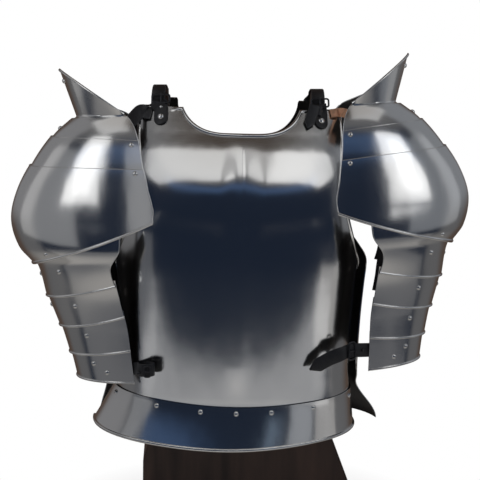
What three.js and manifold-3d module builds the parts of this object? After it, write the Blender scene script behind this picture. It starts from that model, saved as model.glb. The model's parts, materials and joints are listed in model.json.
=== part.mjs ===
// Upper body armour on a plain wooden stand: breastplate, backplate, waist lame,
// two laminated shoulder and arm defences, leather straps and buckles.
// Millimetres, +Z up, the front faces -Y, the floor is z = 0.
import * as THREE from "three";
import { mergeVertices } from "three/addons/utils/BufferGeometryUtils.js";
import Module from "manifold-3d";

const wasm = await Module();
wasm.setup();

// Sheet, gaps and small fittings
const sheet = 1.3;
const gap = 0.5;
const rimRadius = 2.6;
const lipRadius = 1.5;
const rivetRadius = 3.9;
const rivetHeight = 2.2;
const leather = 2.6;
const strapWidth = 21;
const strapInset = 74;
const strapRise = 34;
const buckleWire = 2.1;

// Torso
const waistZ = 213;
const torsoHeight = 455;
const chestHalfWidth = 197;
const chestFront = 146;
const chestBack = 124;
const neckDepth = 38;
const neckShare = 0.76;
const waistRise = 12;
const waistDrop = 9;
const pectoralHeight = 9;
const keelHeight = 2.5;
const backOverlap = 15;
const backShoulderRise = 14;
const backFlareHeight = 42;
const backFlareReach = 24;
const backFlareSkew = 13;
const torsoLean = 1.6;
const shoulderZ = waistZ + torsoHeight;

// Waist lame
const waistLameHeight = 64;
const waistLameLap = 10;
const waistLameFlare = 17;
const waistLameSkew = 13;
const waistLameRise = 14;

// Shoulder and arm defences
const armRise = 16;
const armLength = 434;
const armReach = 169;
const armInset = 17;
const armDepth = 124;
const lameLap = 12;
const armsLean = 2.6;
const hautePieceHeight = 74;
const hautePieceLean = 20;
const armTop = shoulderZ + armRise;
const armAxis = chestHalfWidth - armInset;
const step = sheet + gap;

// Stand
const footHeight = 168;
const footDepth = 164;
const footTopHalf = 139;
const footFlare = 58;
const postSize = 34;
const yokeHeight = 115;
const yokeDepth = 34;
const pegSize = 18;

// Colours
const steelColour = 0xb9bdc2;
const leatherColour = 0x17161a;
const buckleColour = 0x2e2f33;
const woodColour = 0x4a3026;

// Torso sections: share of the height above the waist; half width, front and back depth
// as shares of the chest; armhole edge of the front and of the back as a polar angle.
const torsoSections = [
  { up: -0.14, wide: 0.975, front: 0.9, back: 0.86, edge: 91, backEdge: 86 },
  { up: 0.0, wide: 0.965, front: 0.9, back: 0.84, edge: 91, backEdge: 86 },
  { up: 0.03, wide: 0.961, front: 0.908, back: 0.836, edge: 91, backEdge: 88 },
  { up: 0.1, wide: 0.955, front: 0.925, back: 0.83, edge: 91, backEdge: 97 },
  { up: 0.27, wide: 0.965, front: 0.965, back: 0.88, edge: 90, backEdge: 97 },
  { up: 0.4, wide: 0.985, front: 0.99, back: 0.94, edge: 88, backEdge: 96 },
  { up: 0.47, wide: 1.0, front: 1.0, back: 0.97, edge: 80, backEdge: 92 },
  { up: 0.52, wide: 1.0, front: 1.0, back: 0.99, edge: 72, backEdge: 80 },
  { up: 0.6, wide: 1.0, front: 0.985, back: 1.0, edge: 65, backEdge: 68 },
  { up: 0.74, wide: 0.97, front: 0.92, back: 1.0, edge: 61, backEdge: 60 },
  { up: 0.85, wide: 0.94, front: 0.75, back: 0.94, edge: 67, backEdge: 62 },
  { up: 0.92, wide: 0.91, front: 0.58, back: 0.84, edge: 74, backEdge: 66 },
  { up: 1.0, wide: 0.875, front: 0.37, back: 0.62, edge: 81, backEdge: 74 },
  { up: 1.07, wide: 0.86, front: 0.2, back: 0.38, edge: 84, backEdge: 80 },
];

// Arm sections: share of the way from the top to the bottom; outer reach and inner edge beyond
// the side of the chest as shares of the reach; half depth and distance ahead of the torso
// axis as shares of the depth.
const armSections = [
  { down: 0.0, outer: 0.177, deep: 0.08, inner: 0.089, ahead: 0 },
  { down: 0.012, outer: 0.264, deep: 0.27, inner: 0.018, ahead: 0 },
  { down: 0.04, outer: 0.368, deep: 0.5, inner: -0.136, ahead: 0 },
  { down: 0.1, outer: 0.571, deep: 0.7, inner: -0.231, ahead: 0 },
  { down: 0.2, outer: 0.788, deep: 0.85, inner: -0.272, ahead: 0 },
  { down: 0.3, outer: 0.935, deep: 0.935, inner: -0.314, ahead: 0 },
  { down: 0.4, outer: 1, deep: 0.99, inner: -0.349, ahead: 0 },
  { down: 0.5, outer: 0.939, deep: 1.01, inner: -0.219, ahead: 0.016 },
  { down: 0.57, outer: 0.801, deep: 0.92, inner: -0.024, ahead: 0.04 },
  { down: 0.69, outer: 0.701, deep: 0.76, inner: -0.012, ahead: 0.081 },
  { down: 0.8, outer: 0.593, deep: 0.68, inner: -0.053, ahead: 0.121 },
  { down: 0.9, outer: 0.513, deep: 0.62, inner: -0.071, ahead: 0.161 },
  { down: 1.0, outer: 0.448, deep: 0.57, inner: -0.089, ahead: 0.194 },
];

// Plates of one arm from the top: height of the lower edge at the outside and at the front
// corner, shares of the arm length; lift of the upper and lower edge in steps of a sheet and
// its gap; kind of rim at the lower edge; share of the way round at the upper edge; how much
// of that the rear half has.
const armPlates = [
  { name: "upper_lame_1", top: 0.045, low: 0.105, front: 0.128, lift: [0, -2.22],
    rim: 0, span: 1, rear: 1 },
  { name: "upper_lame_2", top: 0.105, low: 0.205, front: 0.23, lift: [0.22, -1.61],
    rim: 0, span: 1, rear: 1 },
  { name: "shoulder_plate", top: 0.205, low: 0.568, front: 0.42, lift: [0.33, 0.78],
    rim: 1, span: 1, rear: 1 },
  { name: "arm_lame_1", top: 0.568, low: 0.687, front: 0.637, lift: [-2.6, 0.67],
    rim: 2, span: 0.8, rear: 0.84 },
  { name: "arm_lame_2", top: 0.687, low: 0.797, front: 0.753, lift: [-1, 0.67],
    rim: 2, span: 0.97, rear: 0.8 },
  { name: "arm_lame_3", top: 0.797, low: 0.897, front: 0.877, lift: [-1, 0.67],
    rim: 2, span: 1, rear: 0.73 },
  { name: "arm_lame_4", top: 0.897, low: 0.985, front: 0.995, lift: [-1, 0.67],
    rim: 2, span: 1, rear: 0.66 },
];
const rims = [0, rimRadius, lipRadius];

const degrees = Math.PI / 180;
const clamp01 = (v) => Math.min(1, Math.max(0, v));
const smooth = (v) => {
  const c = clamp01(v);
  return c * c * (3 - 2 * c);
};

// Value of a column of a section table, with a smooth curve through the rows
function sample(table, key, column, at) {
  const last = table.length - 1;
  let i = 0;
  while (i < last - 1 && at > table[i + 1][key]) i += 1;
  const slope = (a, b) => (table[b][column] - table[a][column]) / (table[b][key] - table[a][key]);
  const span = table[i + 1][key] - table[i][key];
  const before = i > 0 ? slope(i - 1, i + 1) : slope(i, i + 1);
  const after = i + 1 < last ? slope(i, i + 2) : slope(i, i + 1);
  const f = (at - table[i][key]) / span;
  if (f < 0) return table[i][column] + before * (at - table[i][key]);
  if (f > 1) return table[last][column] + after * (at - table[last][key]);
  const f2 = f * f;
  const f3 = f2 * f;
  const here = (2 * f3 - 3 * f2 + 1) * table[i][column] + (f3 - 2 * f2 + f) * span * before;
  return here + (3 * f2 - 2 * f3) * table[i + 1][column] + (f3 - f2) * span * after;
}

// Turns a point about the front-to-back line through the height given, in degrees
function leaned(p, angle, pivotZ) {
  const c = Math.cos(angle * degrees);
  const s = Math.sin(angle * degrees);
  return new THREE.Vector3(p.x * c + (p.z - pivotZ) * s, p.y, pivotZ + (p.z - pivotZ) * c - p.x * s);
}
const onTorso = (p) => leaned(p, torsoLean, shoulderZ);
const onArms = (p) => leaned(p, -armsLean, armTop - armLength * 0.297);

// Outward direction of a surface given by two parameters
function outward(surface, s, t, flip) {
  const e = 0.004;
  const s0 = Math.max(-1, s - e);
  const s1 = Math.min(1, s + e);
  const t0 = Math.max(0, t - e);
  const t1 = Math.min(1, t + e);
  const along = surface(s1, t).sub(surface(s0, t));
  const up = surface(s, t1).sub(surface(s, t0));
  const n = along.cross(up).normalize();
  return flip ? n.negate() : n;
}

// Closed shell of sheet metal or leather: outer face, inner face and the edges between them
function shell(surface, columns, rowsAt, lift, thick, flip) {
  const count = rowsAt(0).length;
  const outer = [];
  const inner = [];
  for (const s of columns) {
    const rows = rowsAt(s);
    for (const t of rows) {
      const n = outward(surface, s, t, flip);
      const p = surface(s, t);
      outer.push(p.clone().addScaledVector(n, lift(s, t)));
      inner.push(p.clone().addScaledVector(n, -thick));
    }
  }
  const total = outer.length;
  const positions = [];
  for (const p of [...outer, ...inner]) positions.push(p.x, p.y, p.z);
  const faces = [];
  const quad = (a, b, c, d) => {
    if (flip) faces.push(a, c, b, a, d, c);
    else faces.push(a, b, c, a, c, d);
  };
  const wide = columns.length;
  const id = (i, j) => i * count + j;
  for (let i = 0; i < wide - 1; i += 1) {
    for (let j = 0; j < count - 1; j += 1) {
      quad(id(i, j), id(i + 1, j), id(i + 1, j + 1), id(i, j + 1));
      quad(total + id(i, j), total + id(i, j + 1), total + id(i + 1, j + 1), total + id(i + 1, j));
    }
    quad(total + id(i, 0), total + id(i + 1, 0), id(i + 1, 0), id(i, 0));
    quad(id(i, count - 1), id(i + 1, count - 1), total + id(i + 1, count - 1), total + id(i, count - 1));
  }
  for (let j = 0; j < count - 1; j += 1) {
    quad(id(0, j), id(0, j + 1), total + id(0, j + 1), total + id(0, j));
    quad(total + id(wide - 1, j), total + id(wide - 1, j + 1), id(wide - 1, j + 1), id(wide - 1, j));
  }
  const geometry = new THREE.BufferGeometry();
  geometry.setAttribute("position", new THREE.Float32BufferAttribute(positions, 3));
  geometry.setIndex(faces);
  return geometry;
}

// Half-round swelling beside an edge at the distance given
function bead(distance, radius) {
  const off = (distance - radius) / radius;
  return Math.abs(off) < 1 ? radius * Math.sqrt(1 - off * off) : 0;
}

// Even steps from a to b, both ends included
function steps(a, b, n) {
  return Array.from({ length: n + 1 }, (_, i) => a + ((b - a) * i) / n);
}

// Solid forms for joining and cutting
function solid(geometry) {
  const plain = new THREE.BufferGeometry();
  plain.setAttribute("position", geometry.getAttribute("position").clone());
  if (geometry.index) plain.setIndex(geometry.index.clone());
  const merged = mergeVertices(plain, 1e-4);
  const mesh = new wasm.Mesh({
    numProp: 3,
    vertProperties: new Float32Array(merged.getAttribute("position").array),
    triVerts: new Uint32Array(merged.index.array),
  });
  return new wasm.Manifold(mesh);
}

function geometryOf(form) {
  const mesh = form.getMesh();
  const geometry = new THREE.BufferGeometry();
  geometry.setAttribute("position", new THREE.Float32BufferAttribute(mesh.vertProperties, 3));
  geometry.setIndex(new THREE.Uint32BufferAttribute(mesh.triVerts, 1));
  return geometry;
}

// Domed rivet head standing on a surface point
function rivetHead(p, n, radius = rivetRadius, height = rivetHeight, sunk = sheet * 0.88) {
  const profile = [
    new THREE.Vector2(0, -sunk),
    new THREE.Vector2(radius, -sunk),
    new THREE.Vector2(radius, height * 0.15),
    new THREE.Vector2(radius * 0.72, height * 0.74),
    new THREE.Vector2(0, height),
  ];
  const geometry = new THREE.LatheGeometry(profile, 6);
  const turn = new THREE.Quaternion().setFromUnitVectors(new THREE.Vector3(0, 1, 0), n);
  geometry.applyQuaternion(turn);
  geometry.translate(p.x, p.y, p.z);
  return solid(geometry);
}

// Rivet heads seated on the faces of a plate at the places given on its surface
function rivetsOn(geometry, surface, places, flip) {
  const plate = new THREE.Mesh(geometry, new THREE.MeshBasicMaterial({ side: THREE.DoubleSide }));
  return places.map(([s, t]) => {
    const n = outward(surface, s, t, flip);
    const start = surface(s, t).addScaledVector(n, 12);
    const hit = new THREE.Raycaster(start, n.clone().negate()).intersectObject(plate)[0];
    return rivetHead(hit.point, n);
  });
}

function withRivets(geometry, heads) {
  let form = solid(geometry);
  for (const head of heads) form = form.add(head);
  return geometryOf(form);
}

// Torso surface: polar section at a height, with the chest forms on the front
function torsoPoint(angle, z, back) {
  const up = (z - waistZ) / torsoHeight;
  const wide = sample(torsoSections, "up", "wide", up) * chestHalfWidth;
  const depth = back
    ? sample(torsoSections, "up", "back", up) * chestBack
    : sample(torsoSections, "up", "front", up) * chestFront;
  const side = Math.sin(angle);
  const fore = Math.cos(angle);
  const power = 2.15;
  const reach = (Math.abs(side / wide) ** power + Math.abs(fore / depth) ** power) ** (-1 / power);
  const x = side * reach;
  const y = fore * reach;
  return new THREE.Vector3(x, back ? y : -y - chestForms(x, z) * fore, z);
}

// Pectoral swellings with a hollow between them, and a soft keel below
function chestForms(x, z) {
  const off = Math.abs(x) / chestHalfWidth;
  const up = (z - waistZ) / torsoHeight;
  const across = smooth((off - 0.015) / 0.173) * (1 - smooth((off - 0.508) / 0.294));
  const height = smooth((up - 0.556 - off * 0.052) / 0.088) * (1 - smooth((up - 0.701) / 0.22));
  const keel = Math.exp(-((off / 0.086) ** 2)) * (1 - smooth((up - 0.499) / 0.132));
  return pectoralHeight * across * height + keelHeight * keel * smooth((up - 0.015) / 0.132);
}

const waistEdge = (angle) => waistZ - waistDrop + waistRise * Math.sin(angle) ** 2;

function breastSurface(s, t) {
  const top = shoulderZ - neckDepth * (1 - Math.min(1, Math.abs(s) / neckShare) ** 5);
  const low = waistEdge(s * 91 * degrees);
  const z = low + (top - low) * t;
  const edge = sample(torsoSections, "up", "edge", (z - waistZ) / torsoHeight);
  return onTorso(torsoPoint(s * edge * degrees, z, false));
}

// Backplate: wider than the breastplate at the sides, flared below the waist
const backLow = waistZ - waistDrop - backFlareHeight;
const backFlareTop = waistZ + waistDrop * 2;
function backSurface(s, t) {
  const top = shoulderZ + backShoulderRise;
  const neck = (neckDepth + backShoulderRise) * (1 - Math.min(1, Math.abs(s) / neckShare) ** 5);
  const z = backLow + (top - neck - backLow) * t;
  const up = (z - waistZ) / torsoHeight;
  const edge = sample(torsoSections, "up", "backEdge", up);
  const flare = smooth((backFlareTop - z) / (backFlareTop - backLow));
  const p = torsoPoint(s * edge * degrees, z, true);
  const n = new THREE.Vector3(p.x / chestHalfWidth, p.y / chestBack, 0).normalize();
  const spread = backOverlap * Math.abs(n.x) + flare * (backFlareReach + backFlareSkew * n.x);
  return onTorso(p.addScaledVector(n, spread));
}

// Waist lame: laps over the lower edge of the breastplate and flares downward
function waistLameSurface(s, t) {
  const angle = s * 90 * degrees;
  const low = waistZ - waistLameHeight + waistLameRise * Math.sin(angle) ** 2;
  const top = waistEdge(angle) + waistLameLap;
  const z = low + (top - low) * t;
  const p = torsoPoint(angle, Math.max(z, waistZ - waistLameHeight * 0.94), false);
  p.z = z;
  const n = new THREE.Vector3(p.x / chestHalfWidth, p.y / chestFront, 0).normalize();
  const flare = (1 - t) ** 1.2 * (waistLameFlare - waistLameSkew * Math.sin(angle));
  return onTorso(p.addScaledVector(n, step * 1.45 + flare));
}

// Arm surface: section at a share of the length, from the front edge s = -1 to the back edge s = 1
function armPoint(s, down, lift) {
  const outer = chestHalfWidth + sample(armSections, "down", "outer", down) * armReach;
  const deep = sample(armSections, "down", "deep", down) * armDepth;
  const inner = chestHalfWidth + sample(armSections, "down", "inner", down) * armReach;
  const centre = Math.max(armAxis + armInset * 0.47 * smooth((down - 0.35) / 0.3), inner);
  const most = Math.PI / 2 + Math.atan((centre - inner) / deep);
  const angle = s * most;
  const wide = (Math.cos(angle) > 0 ? outer - centre : deep * 1.5) + lift;
  const reach = 1 / Math.sqrt((Math.cos(angle) / wide) ** 2 + (Math.sin(angle) / (deep + lift)) ** 2);
  const x = centre + reach * Math.cos(angle);
  const y = reach * Math.sin(angle) - sample(armSections, "down", "ahead", down) * armDepth;
  return new THREE.Vector3(x, y, armTop - down * armLength);
}

// Surface of one plate of the arm, t = 0 at its lower edge and t = 1 at its upper edge
function armPlateSurface(index, mirror) {
  const plate = armPlates[index];
  const above = armPlates[index - 1];
  const lap = lameLap / armLength;
  return (s, t) => {
    const lowSpan = index === 2 ? 1 : Math.min(1, plate.span + 0.17);
    const round = s * (lowSpan + (plate.span - lowSpan) * t) * (s > 0 ? plate.rear : 1);
    const cornerLow = Math.abs(round) ** 1.7;
    const low = plate.low + (plate.front - plate.low) * cornerLow;
    const higher = above ? above.low + (above.front - above.low) * cornerLow : plate.top;
    const top = higher - (index > 2 ? lap : 0);
    const bottom = index < 2 ? low + lap : low;
    const down = bottom + (top - bottom) * t;
    const lift = (plate.lift[1] + (plate.lift[0] - plate.lift[1]) * t) * step;
    const p = armPoint(round, down, lift);
    p.x *= mirror;
    return onArms(p);
  };
}

// Cap closing the top of the shoulder, tucked inside the first lame
const capLift = -2.56 * step;
function capSurface(mirror) {
  return (s, t) => {
    const p = armPoint(s, 0.075 * (1 - t), capLift);
    p.x *= mirror;
    return onArms(p);
  };
}

// Upright guard: leaves the front of the cap at the upper edge of the first lame,
// tallest at its outer end
const guardBend = 0.2;
const guardLift = -2.84 * step;
function guardSurface(mirror) {
  return (s, t) => {
    const round = -0.99 + (s + 1) * 0.475;
    const foot = armPoint(round, 0.062 - 0.022 * Math.min(1, t / guardBend), guardLift);
    const start = armPoint(-0.99, 0.04, guardLift).x;
    const share = Math.max(0, foot.x - start) / (armPoint(-0.04, 0.04, guardLift).x - start);
    const rise = Math.max(0, (t - guardBend) / (1 - guardBend));
    const n = new THREE.Vector3(foot.x - armAxis * 0.83, foot.y * 0.6, 0).normalize();
    foot.addScaledVector(n, hautePieceLean * rise * (share + 0.125));
    foot.z += rise * hautePieceHeight * (share + 0.027);
    foot.x *= mirror;
    return onArms(foot);
  };
}

// Flat band along a path; sides give the direction across the band at each point
function band(points, sides, width, thick) {
  const positions = [];
  points.forEach((p, i) => {
    const before = points[Math.max(0, i - 1)];
    const after = points[Math.min(points.length - 1, i + 1)];
    const along = after.clone().sub(before).normalize();
    const side = sides[i].clone().addScaledVector(along, -sides[i].dot(along)).normalize();
    const n = side.clone().cross(along);
    for (const [a, b] of [[-1, -1], [1, -1], [1, 1], [-1, 1]]) {
      const q = p.clone().addScaledVector(side, (a * width) / 2).addScaledVector(n, (b * thick) / 2);
      positions.push(q.x, q.y, q.z);
    }
  });
  const faces = [];
  const last = points.length - 1;
  for (let i = 0; i < last; i += 1) {
    for (let k = 0; k < 4; k += 1) {
      const a = i * 4 + k;
      const b = i * 4 + ((k + 1) % 4);
      faces.push(a, b + 4, b, a, a + 4, b + 4);
    }
  }
  faces.push(0, 1, 2, 0, 2, 3);
  const e = last * 4;
  faces.push(e, e + 2, e + 1, e, e + 3, e + 2);
  const geometry = new THREE.BufferGeometry();
  geometry.setAttribute("position", new THREE.Float32BufferAttribute(positions, 3));
  geometry.setIndex(faces);
  return geometry;
}

const root = new THREE.Group();
root.name = "plate_armour";
const steel = new THREE.MeshStandardMaterial({ color: steelColour, roughness: 0.25, metalness: 1 });
const hide = new THREE.MeshStandardMaterial({ color: leatherColour, roughness: 0.6, metalness: 0 });
const buckleSteel = new THREE.MeshStandardMaterial({ color: buckleColour, roughness: 0.35, metalness: 1 });
const wood = new THREE.MeshStandardMaterial({ color: woodColour, roughness: 0.7, metalness: 0 });

function addMesh(name, geometry, material) {
  geometry.computeVertexNormals();
  const mesh = new THREE.Mesh(geometry, material);
  mesh.name = name;
  root.add(mesh);
}

// Length of a surface line at a share across
function lineLength(surface, s) {
  return surface(s, 0).distanceTo(surface(s, 1));
}

// Rows of a plate with close rows beside a beaded lower or upper edge
function rimRows(surface, inside, low, high) {
  return (s) => {
    const length = lineLength(surface, s);
    const lowRows = low > 0 ? [0, 1, 2].map((d) => (d * low) / length) : [0];
    const highRows = high > 0 ? [2, 1, 0].map((d) => 1 - (d * high) / length) : [1];
    const start = lowRows[lowRows.length - 1];
    const end = highRows[0];
    const middle = inside.map((f) => start + (end - start) * f);
    return [...lowRows, ...middle, ...highRows];
  };
}

// Breastplate with rolled neck and armholes
{
  const half = [0.14, 0.28, 0.41, 0.52, 0.62, 0.7, 0.76, 0.84, 0.91, 0.955, 0.978, 0.987, 1];
  const columns = [...half.map((s) => -s).reverse(), 0, ...half];
  const inside = [0.1, 0.22, 0.34, 0.42, 0.47, 0.52, 0.56, 0.6, 0.64, 0.69, 0.75, 0.81, 0.88, 0.945];
  const rows = rimRows(breastSurface, inside, 0, rimRadius);
  const lift = (s, t) => {
    const neck = bead((1 - t) * lineLength(breastSurface, s), rimRadius);
    const neckOnly = 1 - smooth((Math.abs(s) - neckShare) / 0.05);
    const arm = bead((1 - Math.abs(s)) * chestHalfWidth * 1.09, rimRadius) * smooth((t - 0.44) / 0.05);
    return Math.max(neck * neckOnly, arm);
  };
  addMesh("breastplate", shell(breastSurface, columns, rows, lift, sheet, false), steel);
}

// Backplate
{
  const half = [0.16, 0.32, 0.46, 0.58, 0.68, 0.76, 0.85, 0.93, 1];
  const columns = [...half.map((s) => -s).reverse(), 0, ...half];
  const inside = [0.06, 0.13, 0.22, 0.34, 0.45, 0.54, 0.63, 0.73, 0.87];
  const rows = rimRows(backSurface, inside, 0, 0);
  addMesh("backplate", shell(backSurface, columns, rows, () => 0, sheet, true), steel);
}

// Waist lame with its rivets
{
  const columns = steps(-1, 1, 20);
  const rows = rimRows(waistLameSurface, [0.35, 0.7], rimRadius, 0);
  const lift = (s, t) => bead(t * lineLength(waistLameSurface, s), rimRadius);
  const body = shell(waistLameSurface, columns, rows, lift, sheet, false);
  const places = [-0.83, -0.52, -0.25, 0, 0.25, 0.52, 0.83].map((s) => [s, 0.86]);
  const heads = rivetsOn(body, waistLameSurface, places, false);
  addMesh("waist_lame", withRivets(body, heads), steel);
}

// Shoulder and arm defences: the left one is on the viewer's left
const armColumns = 12;
const plateShape = {
  upper_lame_1: { inside: [0.35, 0.7], rivets: [[-0.05, 0.62]] },
  upper_lame_2: { inside: [0.5], rivets: [[-0.93, 0.86]] },
  shoulder_plate: { inside: [0.08, 0.22, 0.4, 0.6, 0.8], rivets: [[-0.93, 0.93], [-0.36, 0.08]] },
  arm_lame_1: { inside: [0.45, 0.75], rivets: [[-0.5, 0.55], [-0.02, 0.55]] },
  arm_lame_2: { inside: [0.5], rivets: [[-0.5, 0.55], [-0.02, 0.55]] },
  arm_lame_3: { inside: [0.5], rivets: [[-0.5, 0.55]] },
  arm_lame_4: { inside: [0.5], rivets: [[-0.5, 0.55], [-0.66, 0.3]] },
};
for (const [side, mirror] of [["left", -1], ["right", 1]]) {
  const flip = mirror < 0;
  armPlates.forEach((plate, index) => {
    const surface = armPlateSurface(index, mirror);
    const shape = plateShape[plate.name];
    const rim = rims[plate.rim];
    const rows = rimRows(surface, shape.inside, rim, 0);
    const lift = (s, t) => (rim > 0 ? bead(t * lineLength(surface, s), rim) : 0);
    const body = shell(surface, steps(-1, 1, armColumns), rows, lift, sheet, flip);
    const heads = rivetsOn(body, surface, shape.rivets, flip);
    addMesh(`${plate.name}_${side}`, withRivets(body, heads), steel);
  });
  const cap = capSurface(mirror);
  const capBody = shell(cap, steps(-1, 1, armColumns), () => [0, 0.55, 1], () => 0, sheet, flip);
  const guard = guardSurface(mirror);
  const rows = rimRows(guard, [guardBend * 0.5, guardBend, 0.5], 0, lipRadius);
  const lift = (s, t) => bead((1 - t) * lineLength(guard, s), lipRadius) * smooth(s + 1);
  const guardBody = shell(guard, steps(-1, 1, 8), rows, lift, sheet, flip);
  const head = rivetsOn(guardBody, guard, [[0.9, 0.8]], flip)[0];
  addMesh(`haute_piece_${side}`, geometryOf(solid(capBody).add(solid(guardBody)).add(head)), steel);
}

// Leather straps inside each arm that carry the lames: share of the way down, and how far in,
// in steps of a sheet and its gap
const carrierLine = [[0.16, -4.44], [0.22, -3.61], [0.3, -2.33], [0.42, -2.11], [0.48, -3.6], [0.52, -5.5],
  [0.56, -5.5], [0.62, -2.67], [0.69, -2.56], [0.77, -2.44], [0.87, -2.44], [0.97, -2]];
for (const [side, mirror] of [["left", -1], ["right", 1]]) {
  for (const [place, round] of [["front", -0.5], ["rear", 0.5]]) {
    const at = (r, down, lift) => {
      const p = armPoint(r, down, lift);
      p.x *= mirror;
      return onArms(p);
    };
    const points = carrierLine.map(([down, lift]) => at(round, down, lift * step - leather / 2));
    const across = carrierLine.map(([down, lift]) =>
      at(round + 0.02, down, lift * step).sub(at(round - 0.02, down, lift * step)));
    addMesh(`carrier_${place}_${side}`, band(points, across, strapWidth - 3, leather), hide);
  }
}

// Place on the torso at a distance across and a height: the point, and the outward direction
function torsoPlace(x, z, back) {
  const at = (px, pz) => {
    let low = -Math.PI / 2;
    let high = Math.PI / 2;
    for (let i = 0; i < 40; i += 1) {
      const middle = (low + high) / 2;
      if (torsoPoint(middle, pz, back).x < px) low = middle;
      else high = middle;
    }
    return torsoPoint((low + high) / 2, pz, back);
  };
  const p = at(x, z);
  const side = at(x + 2, z).sub(at(x - 2, z)).normalize();
  const rise = at(x, z + 2).sub(at(x, z - 2)).normalize();
  const n = side.clone().cross(rise);
  return { p, side, rise, n: back ? n.negate() : n };
}

// The same on the outer face of the backplate, which stands wider at the sides
function backPlace(x, z) {
  const spread = (p) => {
    const reach = new THREE.Vector3(p.x / chestHalfWidth, p.y / chestBack, 0).normalize();
    return reach.multiplyScalar(backOverlap * Math.abs(reach.x) + sheet * 1.15);
  };
  const place = torsoPlace(x - spread(torsoPlace(x, z, true).p).x, z, true);
  place.p.add(spread(place.p));
  return place;
}

// Rectangular buckle frame with its prong, lying on a strap
function buckle(p, n, across, wide, tall) {
  const frame = new THREE.Shape();
  frame.moveTo(-wide / 2, -tall / 2);
  frame.lineTo(wide / 2, -tall / 2);
  frame.lineTo(wide / 2, tall / 2);
  frame.lineTo(-wide / 2, tall / 2);
  frame.closePath();
  const hole = new THREE.Path();
  const inX = wide / 2 - buckleWire * 1.5;
  const inY = tall / 2 - buckleWire * 1.5;
  hole.moveTo(-inX, -inY);
  hole.lineTo(-inX, inY);
  hole.lineTo(inX, inY);
  hole.lineTo(inX, -inY);
  hole.closePath();
  frame.holes.push(hole);
  const ring = new THREE.ExtrudeGeometry(frame, { depth: buckleWire * 1.4, bevelEnabled: false, steps: 1 });
  const prong = new THREE.BoxGeometry(buckleWire, tall - 1, buckleWire);
  prong.translate(0, 0.3, buckleWire * 1.6);
  const turn = new THREE.Matrix4();
  const side = across.clone().addScaledVector(n, -across.dot(n)).normalize();
  turn.makeBasis(side, n.clone().cross(side), n);
  turn.setPosition(p);
  const form = solid(ring).add(solid(prong));
  const geometry = geometryOf(form);
  geometry.applyMatrix4(turn);
  return geometry;
}

const across = new THREE.Vector3(1, 0, 0);

// Shoulder straps: a riveted tab with its buckle on the breastplate, and a strap over the top
// from the backplate; the one on the viewer's right has its pointed end beside the tab
const strapX = chestHalfWidth - strapInset;
const strapLine = [[0, 0.312], [0.069, 0.647], [0.193, 0.897], [0.349, 1], [0.524, 0.971],
  [0.69, 0.868], [0.814, 0.706]];
for (const [side, mirror] of [["left", -1], ["right", 1]]) {
  const tabX = mirror * strapX + 2;
  const topX = mirror * strapX - 4;
  const tabPlaces = [-25, -18, -11, -4].map((z) => torsoPlace(tabX, shoulderZ + z, false));
  const tab = tabPlaces.map(({ p, n }) => p.clone().addScaledVector(n, leather / 2 + gap));
  const tabSides = tabPlaces.map((place) => place.side);
  const tabTop = tab[3];
  tab.push(new THREE.Vector3(tabX - 1, tabTop.y + 4.2, tabTop.z + 7));
  tab.push(new THREE.Vector3(tabX - 2, tabTop.y + 6.2, tabTop.z + 13));
  tabSides.push(tabSides[3].clone().lerp(across, 0.4), tabSides[3].clone().lerp(across, 0.7));
  addMesh(`shoulder_tab_${side}`, band(tab.map(onTorso), tabSides, strapWidth, leather), hide);

  const rearPlaces = [13, 5, -4, -14].map((z) => backPlace(topX, shoulderZ + z));
  const frontY = tabTop.y + 7;
  const rearY = rearPlaces[0].p.y;
  const strap = strapLine.map(([y, z], i) => new THREE.Vector3(
    tabX - 2 + (topX - tabX + 2) * Math.min(1, i / 2),
    frontY + (rearY - frontY) * y,
    shoulderZ + strapRise * z,
  ));
  const strapSides = strap.map(() => across);
  for (const place of rearPlaces) {
    strap.push(place.p.clone().addScaledVector(place.n, leather / 2 + gap));
    strapSides.push(place.side);
  }
  addMesh(`shoulder_strap_${side}`, band(strap.map(onTorso), strapSides, strapWidth, leather), hide);

  const seat = new THREE.Vector3(tabX - 2, tabTop.y + 6.2, shoulderZ + 11);
  const face = new THREE.Vector3(0, -1, 0.36).normalize();
  const lie = onTorso(seat.addScaledVector(face, leather / 2 + gap * 2 + 0.9));
  addMesh(`shoulder_buckle_${side}`, buckle(lie, face, across, strapWidth + 9, 17), buckleSteel);

  const place = torsoPlace(tabX, shoulderZ - 14, false);
  const top = onTorso(place.p.clone().addScaledVector(place.n, leather + gap * 2.2));
  addMesh(`shoulder_rivet_${side}`, geometryOf(rivetHead(top, place.n, 5, 3, 0)), steel);
}

// Pointed end of the shoulder strap on the viewer's right
{
  const line = [[-16, -1], [-18, -8], [-21, -17], [-23, -27]];
  const places = line.map(([x, z]) => torsoPlace(strapX + x, shoulderZ + z, false));
  const end = places.map(({ p, n }) => onTorso(p.clone().addScaledVector(n, leather / 2 + gap * 3.9)));
  const sides = places.map((place) => place.side);
  addMesh("strap_end_right", band(end, sides, strapWidth - 8, leather), hide);
}

function mirrored(p) {
  return new THREE.Vector3(-p.x, p.y, p.z);
}

// Short leathers that hang the shoulder defences from the shoulders of the breastplate
for (const [side, mirror] of [["left", -1], ["right", 1]]) {
  const inner = [58, 50, 44].map((x) => torsoPlace(mirror * (chestHalfWidth - x), shoulderZ - 12, false));
  const above = leather / 2 + gap * 2;
  const line = inner.map(({ p, n }, i) => onTorso(p.clone().addScaledVector(n, above + i * rimRadius)));
  const sides = inner.map((place) => place.rise);
  for (const [s, t] of [[-0.93, 0.1], [-0.8, 0.1], [-0.7, 0.1]]) {
    const cap = capSurface(mirror);
    const n = outward(cap, s, t, mirror < 0);
    line.push(cap(s, t).addScaledVector(n, -step - 1.7 - leather / 2));
    sides.push(cap(s, t + 0.05).sub(cap(s, t - 0.05)).normalize());
  }
  addMesh(`hanger_${side}`, band(line, sides, strapWidth - 7, leather), hide);
}

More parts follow.
